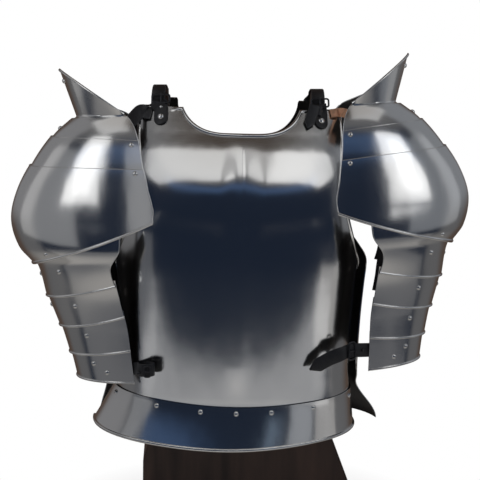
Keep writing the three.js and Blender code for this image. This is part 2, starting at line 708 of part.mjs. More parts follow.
// Point before the breastplate, at a distance from its face, given where it ends up
function beforeChest(x, z, away) {
  const upright = leaned(new THREE.Vector3(x, 0, z), -torsoLean, shoulderZ);
  return new THREE.Vector3(x, torsoPlace(upright.x, upright.z, false).p.y - away, z);
}

// Buckled strap at the lowest lame on the viewer's right, and the rolled one on the left
{
  const ends = [-0.7, -0.85, -1].map((round) => onArms(armPoint(round, 0.92, guardLift * 0.96)));
  const from = ends[2];
  const route = [[-47, 0.6, 36], [-64, -5.4, 23], [-81, -13.4, 17], [-97, -21.4, 12]];
  const free = route.map(([x, z, away]) => beforeChest(from.x + x, from.z + z, away));
  free.unshift(new THREE.Vector3(from.x - 31, from.y - 16.5, from.z + 2.6));
  const line = [...ends, ...free];
  const sides = line.map(() => new THREE.Vector3(0, 0.05, 1));
  addMesh("arm_strap_right", band(line, sides, strapWidth - 3, leather), hide);
  const way = free[1].clone().sub(free[0]).normalize();
  const n = new THREE.Vector3(0, 0, 1).cross(way).normalize();
  if (n.y > 0) n.negate();
  const seat = free[0].clone().addScaledVector(n, leather / 2 + gap * 2);
  addMesh("arm_buckle_right", buckle(seat, n, new THREE.Vector3(0, 0, 1), strapWidth + 7, 16), buckleSteel);
}
{
  const ends = [-0.7, -0.85, -1].map((round) => onArms(mirrored(armPoint(round, 0.94, guardLift * 0.96))));
  const coil = [];
  const centre = beforeChest(ends[2].x + 22.2, ends[2].z + 6, 18.7);
  for (let i = 0; i <= 15; i += 1) {
    const turn = Math.PI * (1.15 - 0.1125 * i);
    const radius = 13.5 - 0.28 * i;
    const off = new THREE.Vector3(Math.cos(turn) * radius, Math.sin(turn) * radius * -0.8, 0);
    coil.push(centre.clone().add(off));
  }
  const line = [...ends, ...coil];
  const sides = line.map(() => new THREE.Vector3(0, 0, 1));
  addMesh("arm_strap_left", band(line, sides, strapWidth - 1, leather), hide);
  const seat = new THREE.Vector3(centre.x + 1, centre.y - 11.3, centre.z - 1);
  const face = new THREE.Vector3(0, -1, 0);
  addMesh("arm_buckle_left", buckle(seat, face, across, 14, strapWidth + 4), buckleSteel);
}

// Stand: flared foot, and a post with a yoke whose pegs carry the shoulder straps
{
  const outline = new THREE.Shape();
  outline.moveTo(-footTopHalf - 20, 0);
  outline.lineTo(footTopHalf + footFlare, 0);
  outline.lineTo(footTopHalf - 4, footHeight);
  outline.lineTo(-footTopHalf - 6, footHeight);
  outline.lineTo(-footTopHalf - 18, footHeight * 0.7);
  outline.closePath();
  const foot = new THREE.ExtrudeGeometry(outline, { depth: footDepth, bevelEnabled: false, steps: 1 });
  foot.rotateX(Math.PI / 2);
  foot.translate(0, footDepth / 2 - 4, 0);
  addMesh("stand_foot", foot, wood);

  const pegTop = shoulderZ + strapRise - leather / 2 - gap * 6.6;
  const yokeLow = pegTop - yokeHeight;
  const pegHalf = pegSize / 2;
  const half = [
    [0, 0], [strapX * 0.73, 0.19], [strapX + pegHalf, 0.54], [strapX + pegHalf, 1],
    [strapX - pegHalf, 1], [strapX - pegHalf * 1.3, 0.66], [strapX * 0.715, 0.485],
    [strapX * 0.41, 0.225], [0, 0.19],
  ].map(([x, z]) => [x, yokeLow + yokeHeight * z]);
  const yokeShape = new THREE.Shape();
  yokeShape.moveTo(half[0][0], half[0][1]);
  for (const [x, z] of half.slice(1)) yokeShape.lineTo(x, z);
  for (const [x, z] of half.slice(1, -1).reverse()) yokeShape.lineTo(-x, z);
  yokeShape.closePath();
  const yoke = new THREE.ExtrudeGeometry(yokeShape, { depth: yokeDepth, bevelEnabled: false, steps: 1 });
  yoke.rotateX(Math.PI / 2);
  yoke.translate(0, yokeDepth / 2 + 3, 0);
  const turned = yoke.getAttribute("position");
  for (let i = 0; i < turned.count; i += 1) {
    const p = onTorso(new THREE.Vector3().fromBufferAttribute(turned, i));
    turned.setXYZ(i, p.x, p.y, p.z);
  }
  const postLow = footHeight + gap;
  const postHigh = yokeLow + yokeHeight * 0.1;
  const post = new THREE.BoxGeometry(postSize, postSize, postHigh - postLow);
  post.translate(0, 3, (postHigh + postLow) / 2);
  addMesh("stand_post", geometryOf(solid(post).add(solid(yoke))), wood);
}

export default root;
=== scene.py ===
import json
import math
import bpy
import numpy as np
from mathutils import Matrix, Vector

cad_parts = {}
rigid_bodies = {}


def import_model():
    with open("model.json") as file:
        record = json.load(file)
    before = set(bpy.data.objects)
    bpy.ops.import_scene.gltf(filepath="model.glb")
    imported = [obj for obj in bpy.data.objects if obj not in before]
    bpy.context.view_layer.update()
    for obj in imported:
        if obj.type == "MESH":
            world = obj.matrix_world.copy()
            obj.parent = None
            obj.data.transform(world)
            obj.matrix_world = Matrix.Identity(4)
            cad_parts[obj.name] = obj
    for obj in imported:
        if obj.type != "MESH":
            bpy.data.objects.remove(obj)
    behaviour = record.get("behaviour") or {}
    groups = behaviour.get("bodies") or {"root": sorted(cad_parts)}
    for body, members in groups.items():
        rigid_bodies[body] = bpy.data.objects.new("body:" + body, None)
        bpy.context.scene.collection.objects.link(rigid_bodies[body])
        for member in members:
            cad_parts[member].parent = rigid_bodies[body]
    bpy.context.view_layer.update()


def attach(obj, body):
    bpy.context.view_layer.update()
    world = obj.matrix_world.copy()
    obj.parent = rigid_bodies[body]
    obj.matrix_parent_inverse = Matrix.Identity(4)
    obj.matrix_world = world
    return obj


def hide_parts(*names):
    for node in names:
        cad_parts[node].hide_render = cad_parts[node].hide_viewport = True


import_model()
print("stage: frame loaded")

# Shared sizes in millimetres, as in the part, but with lips and rivet heads a little prouder
sizes = {
    "sheet": 1.3, "gap": 0.5, "rim": 2.6, "lip": 1.9, "rivetRadius": 3.9, "rivetHeight": 2.9,
    "rivetSunk": 1.4, "leather": 2.6,
}
step = sizes["sheet"] + sizes["gap"]
leatherSeat = sizes["leather"] / 2 + sizes["gap"]

torso = {
    "waistZ": 213, "height": 455, "halfWidth": 197, "front": 146, "back": 124,
    "frontPower": 2.4, "backPower": 2.15, "neckDepth": 38, "neckShare": 0.76, "neckPower": 4.2,
    "waistDrop": 9, "waistRise": 12, "waistAngle": 91, "halfGirth": 215, "lean": 1.6,
}
shoulderZ = torso["waistZ"] + torso["height"]

# Forms of the chest: an edge begins at its first value and spreads over its second
chestForm = {
    "pectoral": 6, "hollow": (3, 34), "outside": (100, 58), "underside": (466, 40),
    "undersideSlant": 0.12, "upperside": (532, 100), "keel": 2.5, "keelHalf": 17,
    "keelFoot": (220, 60), "keelTop": (440, 60), "crease": 1.5, "creaseHalf": 9,
    "creaseFoot": (430, 40), "creaseTop": (600, 50),
}

backPlate = {
    "overlap": 15, "shoulderRise": 14, "neckDrop": 6, "neckPower": 6, "outerDrop": 13,
    "outerEdge": (0.86, 0.08), "flareTop": 18, "flareHeight": 42, "flareReach": 24,
    "flareSkew": 13, "proud": 1.5, "across": 130, "up": 120,
}

waistLame = {
    "height": 64, "lap": 10, "lift": 1.45, "rise": 14, "flare": 17, "flarePower": 1.2,
    "skew": 13, "straightBelow": 60, "rivets": (-0.83, -0.52, -0.25, 0, 0.25, 0.52, 0.83),
    "rivetUp": 0.86, "across": 180, "up": 14,
}

# Torso sections: share of the height, half width, front and back depth, edge angles
torsoColumns = ("up", "wide", "front", "back", "edge", "backEdge")
torsoSections = np.array([
    (-0.14, 0.975, 0.9, 0.86, 91, 86),
    (0.0, 0.965, 0.9, 0.84, 91, 86),
    (0.03, 0.961, 0.908, 0.836, 91, 88),
    (0.1, 0.955, 0.925, 0.83, 91, 97),
    (0.27, 0.965, 0.965, 0.88, 90, 97),
    (0.4, 0.985, 0.99, 0.94, 88, 96),
    (0.47, 1.0, 1.0, 0.97, 80, 92),
    (0.52, 1.0, 1.0, 0.99, 72, 80),
    (0.6, 1.0, 0.985, 1.0, 65, 68),
    (0.74, 0.97, 0.92, 1.0, 61, 60),
    (0.85, 0.94, 0.75, 0.94, 67, 62),
    (0.92, 0.91, 0.58, 0.84, 74, 66),
    (1.0, 0.875, 0.37, 0.62, 81, 74),
    (1.07, 0.86, 0.2, 0.38, 84, 80),
])

arm = {
    "rise": 16, "length": 434, "reach": 169, "depth": 124, "inset": 17, "insetEase": 0.47,
    "insetEdge": (0.35, 0.3), "innerShare": 1.5, "halfGirth": 190, "lap": 12, "lapSpread": 0.17,
    "cornerPower": 1.7, "lean": 2.6, "pivotDown": 0.297,
}
armTop = shoulderZ + arm["rise"]

# Arm sections: share of the way down; outer reach and inner edge beyond the side of the chest
# as shares of the reach; half depth and distance ahead as shares of the depth
armColumns = ("down", "outer", "deep", "inner", "ahead")
armSections = np.array([
    (0.0, 0.177, 0.08, 0.089, 0),
    (0.012, 0.264, 0.27, 0.018, 0),
    (0.04, 0.368, 0.5, -0.136, 0),
    (0.1, 0.571, 0.7, -0.231, 0),
    (0.2, 0.788, 0.85, -0.272, 0),
    (0.3, 0.935, 0.935, -0.314, 0),
    (0.4, 1.0, 0.99, -0.349, 0),
    (0.5, 0.939, 1.01, -0.219, 0.016),
    (0.57, 0.801, 0.92, -0.024, 0.04),
    (0.69, 0.701, 0.76, -0.012, 0.081),
    (0.8, 0.593, 0.68, -0.053, 0.121),
    (0.9, 0.513, 0.62, -0.071, 0.161),
    (1.0, 0.448, 0.57, -0.089, 0.194),
])

# Plates of an arm: upper edge, lower edge outside and at the front corner, lift of the upper
# and lower edge in steps of a sheet and its gap, rim, share of the way round, share of that at
# the rear, rivets as (across, up)
armPlates = [
    ("upper_lame_1", 0.045, 0.105, 0.128, 0, -2.22, 0, 1, 1, [(-0.05, 0.62)]),
    ("upper_lame_2", 0.105, 0.205, 0.23, 0.22, -1.61, 0, 1, 1, [(-0.93, 0.86)]),
    ("shoulder_plate", 0.205, 0.568, 0.42, 0.33, 0.78, 1, 1, 1, [(-0.93, 0.93), (-0.36, 0.08)]),
    ("arm_lame_1", 0.568, 0.687, 0.637, -2.6, 0.67, 2, 0.8, 0.84, [(-0.5, 0.55), (-0.02, 0.55)]),
    ("arm_lame_2", 0.687, 0.797, 0.753, -1, 0.67, 2, 0.97, 0.8, [(-0.5, 0.55), (-0.02, 0.55)]),
    ("arm_lame_3", 0.797, 0.897, 0.877, -1, 0.67, 2, 1, 0.73, [(-0.5, 0.55)]),
    ("arm_lame_4", 0.897, 0.985, 0.995, -1, 0.67, 2, 1, 0.66, [(-0.5, 0.55), (-0.66, 0.3)]),
]


def smooth(v):
    c = np.clip(v, 0, 1)
    return c * c * (3 - 2 * c)


def rising(v, start, over):
    return smooth((v - start) / over)


def sample(table, names, column, at):
    # smooth curve through the rows of a table: cubic pieces with slopes from the neighbours
    keys = table[:, 0]
    values = table[:, names.index(column)]
    slopes = np.empty(len(keys))
    slopes[1:-1] = (values[2:] - values[:-2]) / (keys[2:] - keys[:-2])
    slopes[0] = (values[1] - values[0]) / (keys[1] - keys[0])
    slopes[-1] = (values[-1] - values[-2]) / (keys[-1] - keys[-2])
    at = np.asarray(at, float)
    i = np.clip(np.searchsorted(keys, at, side="left") - 1, 0, len(keys) - 2)
    span = keys[i + 1] - keys[i]
    f = (at - keys[i]) / span
    inner = ((2 * f**3 - 3 * f**2 + 1) * values[i] + (f**3 - 2 * f**2 + f) * span * slopes[i]
             + (3 * f**2 - 2 * f**3) * values[i + 1] + (f**3 - f**2) * span * slopes[i + 1])
    low = values[0] + slopes[0] * (at - keys[0])
    high = values[-1] + slopes[-1] * (at - keys[-1])
    return np.where(f < 0, low, np.where(f > 1, high, inner))


def leaned(p, angle, pivotZ):
    c = math.cos(math.radians(angle))
    s = math.sin(math.radians(angle))
    x = p[..., 0]
    z = p[..., 2] - pivotZ
    return np.stack([x * c + z * s, p[..., 1], pivotZ + z * c - x * s], -1)


def onTorso(p):
    return leaned(p, torso["lean"], shoulderZ)


def onArms(p):
    return leaned(p, -arm["lean"], armTop - arm["length"] * arm["pivotDown"])


def chestForms(x, z):
    # pectoral swellings with a hollow between them, a soft keel below and a fine crease above it
    off = np.abs(x)
    across = rising(off, *chestForm["hollow"]) * (1 - rising(off, *chestForm["outside"]))
    slanted = z - off * chestForm["undersideSlant"]
    height = rising(slanted, *chestForm["underside"]) * (1 - rising(z, *chestForm["upperside"]))
    keel = rising(z, *chestForm["keelFoot"]) * (1 - rising(z, *chestForm["keelTop"]))
    keel = keel * np.exp(-(off / chestForm["keelHalf"]) ** 2)
    crease = rising(z, *chestForm["creaseFoot"]) * (1 - rising(z, *chestForm["creaseTop"]))
    crease = crease * np.exp(-off / chestForm["creaseHalf"])
    return (chestForm["pectoral"] * across * height + chestForm["keel"] * keel
            + chestForm["crease"] * crease)


def torsoPoint(angle, z, back):
    face = "back" if back else "front"
    up = (z - torso["waistZ"]) / torso["height"]
    wide = sample(torsoSections, torsoColumns, "wide", up) * torso["halfWidth"]
    deep = sample(torsoSections, torsoColumns, face, up) * torso[face]
    side = np.sin(angle)
    fore = np.cos(angle)
    power = torso[face + "Power"]
    reach = (np.abs(side / wide) ** power + np.abs(fore / deep) ** power) ** (-1 / power)
    x = side * reach
    y = fore * reach
    return np.stack([x, y if back else -y - chestForms(x, z) * fore, z + 0 * x], -1)


def outward(p, depth):
    # level direction away from the middle of the torso
    n = np.stack([p[..., 0] / torso["halfWidth"], p[..., 1] / depth, 0 * p[..., 0]], -1)
    return n / np.linalg.norm(n, axis=-1, keepdims=True)


def waistEdge(angle):
    return torso["waistZ"] - torso["waistDrop"] + torso["waistRise"] * np.sin(angle) ** 2


def edgeAngle(z, column):
    up = (z - torso["waistZ"]) / torso["height"]
    return np.radians(sample(torsoSections, torsoColumns, column, up))


def neckCurve(s, power):
    # 1 in the middle of the neck, 0 at the shoulders
    return 1 - np.minimum(1, np.abs(s) / torso["neckShare"]) ** power


def breastSurface(s, t):
    top = shoulderZ - torso["neckDepth"] * neckCurve(s, torso["neckPower"])
    low = waistEdge(s * math.radians(torso["waistAngle"]))
    z = low + (top - low) * t
    return onTorso(torsoPoint(s * edgeAngle(z, "edge"), z, False))


def backSurface(s, t):
    low = torso["waistZ"] - torso["waistDrop"] - backPlate["flareHeight"]
    rise = backPlate["shoulderRise"]
    neckDepth = torso["neckDepth"] + rise + backPlate["neckDrop"]
    neck = neckDepth * neckCurve(s, backPlate["neckPower"])
    outerDrop = backPlate["outerDrop"] * rising(np.abs(s), *backPlate["outerEdge"])
    z = low + (shoulderZ + rise - neck - outerDrop - low) * t
    flareTop = torso["waistZ"] + backPlate["flareTop"]
    flare = smooth((flareTop - z) / (flareTop - low))
    p = torsoPoint(s * edgeAngle(z, "backEdge"), z, True)
    n = outward(p, torso["back"])
    spread = backPlate["overlap"] * np.abs(n[..., 0])
    spread = spread + flare * (backPlate["flareReach"] + backPlate["flareSkew"] * n[..., 0])
    return onTorso(p + n * spread[..., None])


def waistLameSurface(s, t):
    angle = s * math.pi / 2
    low = torso["waistZ"] - waistLame["height"] + waistLame["rise"] * np.sin(angle) ** 2
    z = low + (waistEdge(angle) + waistLame["lap"] - low) * t
    p = torsoPoint(angle, np.maximum(z, torso["waistZ"] - waistLame["straightBelow"]), False)
    p[..., 2] = z
    flare = waistLame["flare"] - waistLame["skew"] * np.sin(angle)
    flare = flare * (1 - t) ** waistLame["flarePower"]
    return onTorso(p + outward(p, torso["front"]) * (step * waistLame["lift"] + flare)[..., None])


def armPoint(s, down, lift):
    halfWidth = torso["halfWidth"]
    outer = halfWidth + sample(armSections, armColumns, "outer", down) * arm["reach"]
    deep = sample(armSections, armColumns, "deep", down) * arm["depth"]
    inner = halfWidth + sample(armSections, armColumns, "inner", down) * arm["reach"]
    axis = halfWidth - arm["inset"] * (1 - arm["insetEase"] * rising(down, *arm["insetEdge"]))
    centre = np.maximum(axis, inner)
    angle = s * (math.pi / 2 + np.arctan((centre - inner) / deep))
    wide = np.where(np.cos(angle) > 0, outer - centre, deep * arm["innerShare"]) + lift
    reach = 1 / np.sqrt((np.cos(angle) / wide) ** 2 + (np.sin(angle) / (deep + lift)) ** 2)
    x = centre + reach * np.cos(angle)
    y = reach * np.sin(angle) - sample(armSections, armColumns, "ahead", down) * arm["depth"]
    return np.stack([x, y, armTop - down * arm["length"] + 0 * x], -1)


def mirrored(p, mirror):
    return onArms(p * np.array([mirror, 1, 1]))


def armPlace(s, down, lift, mirror):
    return mirrored(armPoint(s, down, lift), mirror)


shoulderIndex = 2  # the large plate; the lames above it lap down, those below lap up


def plateSurface(index, mirror):
    _, top0, low0, front0, liftTop, liftLow, _, span, rear, _ = armPlates[index]
    above = armPlates[index - 1]
    lap = arm["lap"] / arm["length"]

    def surface(s, t):
        lowSpan = 1 if index == shoulderIndex else min(1, span + arm["lapSpread"])
        around = s * (lowSpan + (span - lowSpan) * t) * np.where(s > 0, rear, 1)
        corner = np.abs(around) ** arm["cornerPower"]
        low = low0 + (front0 - low0) * corner
        higher = above[2] + (above[3] - above[2]) * corner if index else top0
        top = higher - (lap if index > shoulderIndex else 0)
        bottom = low + (lap if index < shoulderIndex else 0)
        lift = (liftLow + (liftTop - liftLow) * t) * step
        return armPlace(around, bottom + (top - bottom) * t, lift, mirror)
    return surface


# Upright guard, one piece with the cap that closes the top of the shoulder
guardForm = {
    "capDown": 0.075, "capLift": -2.56 * step, "lift": -2.84 * step, "front": -0.99,
    "rear": -0.04, "foot": 0.062, "fold": 0.04, "bend": 0.2, "centreX": 149.4,
    "depthShare": 0.6, "height": 74, "frontHeight": 0.027, "lean": 20, "frontLean": 0.125,
}


def capSurface(mirror):
    down, lift = guardForm["capDown"], guardForm["capLift"]
    return lambda s, t: armPlace(s, down * (1 - t), lift + 0 * s, mirror)


def guardSurface(mirror):
    limits = np.array([guardForm["front"], guardForm["rear"]])
    ends = armPoint(limits, guardForm["fold"] + 0 * limits, guardForm["lift"] + 0 * limits)[:, 0]

    def surface(s, t):
        around = limits[0] + (s + 1) * (limits[1] - limits[0]) / 2
        folded = (guardForm["foot"] - guardForm["fold"]) * np.minimum(1, t / guardForm["bend"])
        foot = armPoint(around, guardForm["foot"] - folded, guardForm["lift"] + 0 * s)
        share = np.maximum(0, foot[..., 0] - ends[0]) / (ends[1] - ends[0])
        rise = np.maximum(0, (t - guardForm["bend"]) / (1 - guardForm["bend"]))
        n = np.stack([foot[..., 0] - guardForm["centreX"], foot[..., 1] * guardForm["depthShare"],
                      0 * share], -1)
        n /= np.linalg.norm(n, axis=-1, keepdims=True)
        foot = foot + n * (guardForm["lean"] * rise * (share + guardForm["frontLean"]))[..., None]
        foot[..., 2] += rise * guardForm["height"] * (share + guardForm["frontHeight"])
        return mirrored(foot, mirror)
    return surface


def normals(surface, s, t):
    # outward unit normals of a surface from small steps along both parameters
    e = 0.002
    along = surface(np.minimum(1, s + e), t) - surface(np.maximum(-1, s - e), t)
    up = surface(s, np.minimum(1, t + e)) - surface(s, np.maximum(0, t - e))
    n = np.cross(along, up)
    return n / np.linalg.norm(n, axis=-1, keepdims=True)


insideMark = 40  # added to the second surface coordinate on the hidden side of a sheet
sharpFrom = math.radians(48)


def meshObject(name, points, faces, material, uv=None):
    mesh = bpy.data.meshes.new(name)
    faces = faces.tolist() if hasattr(faces, "tolist") else faces
    mesh.from_pydata((np.asarray(points) * 0.001).tolist(), [], faces)
    mesh.update()
    if uv is not None:
        layer = mesh.uv_layers.new(name="surface")
        index = np.empty(len(mesh.loops), np.int32)
        mesh.loops.foreach_get("vertex_index", index)
        layer.data.foreach_set("uv", np.asarray(uv, np.float32)[index].ravel())
    mesh.polygons.foreach_set("use_smooth", np.ones(len(mesh.polygons), bool))
    mesh.set_sharp_from_angle(angle=sharpFrom)
    mesh.materials.append(material)
    if uv is not None and np.asarray(uv)[:, 1].max() > insideMark / 2:
        # faces on the hidden side of a sheet are unpolished, and their near-black colour is painted
        # shade
        mesh.materials.append(insideSteelPaintedShade)
        hidden = np.asarray(uv)[:, 1] > insideMark / 2
        marks = [int(all(hidden[v] for v in face)) for face in faces]
        mesh.polygons.foreach_set("material_index", np.array(marks, np.int32))
    obj = bpy.data.objects.new(name, mesh)
    bpy.context.scene.collection.objects.link(obj)
    return obj


def show(obj, nodes):
    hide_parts(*nodes)
    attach(obj, "root")


def showShape(name, shape, node, slot="polished_steel", material=None):
    points, faces, uv = shape
    show(meshObject(name, points, faces, material or materials[slot], uv), [node])


def shellArrays(surface, columns, rows, lift, flip):
    # columns: 1d array of s; rows: 2d array of t, one line per column
    s = np.repeat(columns[:, None], rows.shape[1], 1)
    n = normals(surface, s, rows) * (-1 if flip else 1)
    p = surface(s, rows)
    outer = p + n * lift(s, rows)[..., None]
    inner = p - n * sizes["sheet"]
    wide, tall = s.shape
    total = wide * tall
    ids = np.arange(total).reshape(wide, tall)

    def quads(a, b, c, d):
        q = np.stack([a, b, c, d], -1).reshape(-1, 4)
        return q[:, ::-1] if flip else q
    a, b, c, d = ids[:-1, :-1], ids[1:, :-1], ids[1:, 1:], ids[:-1, 1:]
    faces = [quads(a, b, c, d), quads(total + a, total + d, total + c, total + b)]
    for edge in (ids[::-1, 0], ids[:, -1], ids[0], ids[-1, ::-1]):
        faces.append(quads(edge[:-1], edge[1:], total + edge[1:], total + edge[:-1]))
    along = np.linalg.norm(np.diff(p, axis=0), axis=-1)
    upward = np.linalg.norm(np.diff(p, axis=1), axis=-1)
    lengths = np.concatenate([np.zeros((1, tall)), np.cumsum(along, 0)])
    heights = np.concatenate([np.zeros((wide, 1)), np.cumsum(upward, 1)], 1)
    uv = np.stack([lengths - lengths[wide // 2], heights], -1).reshape(-1, 2) * 0.001
    points = np.concatenate([outer.reshape(-1, 3), inner.reshape(-1, 3)])
    return points, np.concatenate(faces), np.concatenate([uv, uv + (0, insideMark)])


def bead(distance, radius):
    off = (distance - radius) / radius
    return radius * np.sqrt(np.clip(1 - off * off, 0, 1))


def lineLength(surface, s):
    return np.linalg.norm(surface(s, 1 + 0 * s) - surface(s, 0 * s), axis=-1)


# Close rows over the width of a bead, as shares of its radius
rimSteps = 1 - np.cos(np.linspace(0, math.pi, 11))


def rimRows(surface, columns, count, low, high):
    # even rows, with close rows beside a beaded lower or upper edge
    length = lineLength(surface, columns)[:, None]
    lowRows = rimSteps[None] * low / length if low else 0 * length
    highRows = 1 - rimSteps[::-1][None] * high / length if high else 0 * length + 1
    inside = np.linspace(0, 1, count + 2)[1:-1][None]
    start = lowRows[:, -1:]
    end = highRows[:, :1]
    return np.concatenate([lowRows, start + (end - start) * inside, highRows], 1)


def beadEdges(surface, low, high=0, front=0):
    # bead on the lower edge, the upper edge and the front edge of an arm, where it has a radius
    def lift(s, t):
        length = lineLength(surface, s)
        edges = ((t * length, low), ((1 - t) * length, high), ((s + 1) * arm["halfGirth"], front))
        return np.max([bead(distance, radius) for distance, radius in edges if radius], axis=0)
    return lift


def joined(parts):
    # several (points, faces, uv) sets as one
    points, faces, uvs, base = [], [], [], 0
    for p, f, uv in parts:
        points.append(p)
        faces += [[i + base for i in face] for face in (f.tolist() if hasattr(f, "tolist") else f)]
        uvs.append(np.zeros((len(p), 2)) if uv is None else uv)
        base += len(p)
    return np.concatenate(points), faces, np.concatenate(uvs)


def tubeFaces(levels, m, closed=False, ends=True):
    # quads between rings of m points, with the two end faces of an open tube
    k = np.arange(m)
    nxt = (k + 1) % m
    faces = []
    for i in range(levels if closed else levels - 1):
        j = (i + 1) % levels
        faces += np.stack([i * m + k, j * m + k, j * m + nxt, i * m + nxt], -1).tolist()
    if ends and not closed:
        faces += [k.tolist(), ((levels - 1) * m + k[::-1]).tolist()]
    return faces


def domeArrays(centres, directions, radius, height, sunk=sizes["rivetSunk"]):
    # domed rivet heads as one mesh
    around, rings = 20, 6
    k = np.arange(around)
    nxt = (k + 1) % around
    a = k * 2 * math.pi / around
    lift = np.linspace(0, math.pi / 2, rings + 1)[:-1]
    r = np.concatenate([[radius], radius * np.cos(lift)])
    h = np.concatenate([[-sunk], height * np.sin(lift)])
    count = len(r) * around
    faces = [face[::-1] for face in tubeFaces(len(r), around, ends=False)]
    faces += np.stack([nxt, k, 0 * k + count], -1).tolist()
    faces += np.stack([count - around + k, count - around + nxt, 0 * k + count + 1], -1).tolist()
    domes = []
    for centre, n in zip(centres, directions):
        side = np.cross(n, [0.31, 0.2, 0.93])  # any way aslant of the dome
        side /= np.linalg.norm(side)
        ring = np.cos(a)[:, None] * side + np.sin(a)[:, None] * np.cross(n, side)
        body = centre + r[:, None, None] * ring[None] + h[:, None, None] * n
        ends = [centre - n * sunk], [centre + n * height]
        domes.append((np.concatenate([body.reshape(-1, 3), *ends]), faces, None))
    return joined(domes)


def rivetsOn(surface, places, flip):
    s, t = np.array(places, float).T
    n = normals(surface, s, t) * (-1 if flip else 1)
    return domeArrays(surface(s, t), n, sizes["rivetRadius"], sizes["rivetHeight"])


def smoothPath(points, count):
    # even curve through the points: Catmull-Rom pieces
    p = np.asarray(points, float)
    p = np.concatenate([[2 * p[0] - p[1]], p, [2 * p[-1] - p[-2]]])
    u = np.linspace(0, len(p) - 3 - 1e-6, count)
    i = u.astype(int)
    f = (u - i)[:, None]
    a, b, c, d = p[i], p[i + 1], p[i + 2], p[i + 3]
    squared = (2 * a - 5 * b + 4 * c - d) * f**2
    return 0.5 * (2 * b + (c - a) * f + squared + (3 * b - a - 3 * c + d) * f**3)


def strapArrays(points, sides, width, startEnd="square", endEnd="square", count=60):
    # flat strip with rounded long edges along a path; the width closes at round or pointed ends
    path = smoothPath(points, count)
    side = smoothPath(sides, count)
    along = np.gradient(path, axis=0)
    along /= np.linalg.norm(along, axis=-1, keepdims=True)
    side = side - along * np.sum(side * along, -1, keepdims=True)
    side /= np.linalg.norm(side, axis=-1, keepdims=True)
    n = np.cross(side, along)
    run = np.concatenate([[0], np.cumsum(np.linalg.norm(np.diff(path, axis=0), axis=-1))])

    def factor(d, kind):
        half = width / 2
        if kind == "round":
            return np.sqrt(np.clip(1 - (1 - np.clip(d / half, 0, 1)) ** 2, 0.02, 1))
        if kind == "point":
            return np.clip(0.12 + d / (width * 0.75), 0, 1)
        return np.ones_like(d)
    w = np.minimum(factor(run, startEnd), factor(run[-1] - run, endEnd)) * width / 2
    corner = sizes["leather"] / 2
    turnCount = 5
    turns = np.linspace(-math.pi / 2, math.pi / 2, turnCount)
    flat = np.concatenate([np.cos(turns), -np.cos(turns)])
    tall = np.concatenate([np.sin(turns), -np.sin(turns)]) * corner
    sign = np.concatenate([np.ones(turnCount), -np.ones(turnCount)])
    across = sign[None] * np.maximum(w[:, None] - corner, 0.2) + flat[None] * corner
    body = path[:, None] + side[:, None] * across[..., None] + n[:, None] * tall[None, :, None]
    m = 2 * turnCount
    uv = np.stack([np.repeat(run[:, None], m, 1), across], -1).reshape(-1, 2) * 0.001
    return body.reshape(-1, 3), tubeFaces(count, m), uv


def ringArrays(centre, sideDir, upDir, wide, tall, radius, corner):
    # closed round wire bent to a rounded rectangle
    path = []
    for cx, cy, a0 in ((1, 1, 0), (-1, 1, 90), (-1, -1, 180), (1, -1, 270)):
        for a in np.radians(np.linspace(a0, a0 + 90, 6)):
            path.append([cx * (wide / 2 - corner) + corner * math.cos(a),
                         cy * (tall / 2 - corner) + corner * math.sin(a)])
    path = np.array(path)
    tangent = np.roll(path, -1, 0) - np.roll(path, 1, 0)
    tangent /= np.linalg.norm(tangent, axis=-1, keepdims=True)
    out = np.stack([tangent[:, 1], -tangent[:, 0]], -1)
    sideDir = sideDir / np.linalg.norm(sideDir)
    upDir = upDir - sideDir * np.dot(upDir, sideDir)
    upDir /= np.linalg.norm(upDir)
    n = np.cross(sideDir, upDir)
    m = 10
    a = np.arange(m) * 2 * math.pi / m
    flat = path[:, None] + out[:, None] * (np.cos(a) * radius)[None, :, None]
    body = centre + flat[..., :1] * sideDir + flat[..., 1:] * upDir
    body = body + (np.sin(a) * radius)[None, :, None] * n
    return body.reshape(-1, 3), tubeFaces(len(path), m, closed=True), None


def rodArrays(a, b, radius):
    # round rod with slightly tapered ends
    a, b = np.asarray(a, float), np.asarray(b, float)
    along = (b - a) / np.linalg.norm(b - a)
    side = np.cross(along, [0.2, 0.9, 0.3])
    side /= np.linalg.norm(side)
    other = np.cross(along, side)
    m = 12
    q = np.arange(m) * 2 * math.pi / m
    ring = np.cos(q)[:, None] * side + np.sin(q)[:, None] * other
    levels = [(a, 0.55), (a + along * radius * 0.5, 1), (b - along * radius * 0.5, 1), (b, 0.55)]
    points = np.concatenate([c + ring * radius * f for c, f in levels])
    return points, [face[::-1] for face in tubeFaces(len(levels), m)], None


# Shader helpers
def fill(socket, value):
    # a constant, or the output of another node
    if hasattr(value, "links"):
        socket.id_data.links.new(value, socket)
    else:
        socket.default_value = value


def setInputs(node, **values):
    # a long name is written with underscores for its spaces
    for name, value in values.items():
        fill(node.inputs[name.replace("_", " ")], value)
    return node


def newNode(tree, kind, **values):
    return setInputs(tree.nodes.new("ShaderNode" + kind), **values)


def mathNode(tree, operation, a, b=None):
    node = newNode(tree, "Math")
    node.operation = operation
    for socket, value in zip(node.inputs, (a, b)):
        if value is not None:
            fill(socket, value)
    return node.outputs[0]


def noiseNode(tree, vector, scale, detail, rough=0.5):
    node = newNode(tree, "TexNoise", Vector=vector, Scale=scale, Detail=detail, Roughness=rough)
    return node.outputs["Fac"]


def bumpNode(tree, height, strength, distance):
    return newNode(tree, "Bump", Height=height, Strength=strength, Distance=distance)


def stretched(tree, vector, scale):
    return newNode(tree, "Mapping", Vector=vector, Scale=scale).outputs["Vector"]


def rampNode(tree, value, stops):
    node = newNode(tree, "ValToRGB", Fac=value)
    for element, (at, colour) in zip(node.color_ramp.elements, stops):
        element.position = at
        element.color = (*colour, 1)
    return node.outputs["Color"]


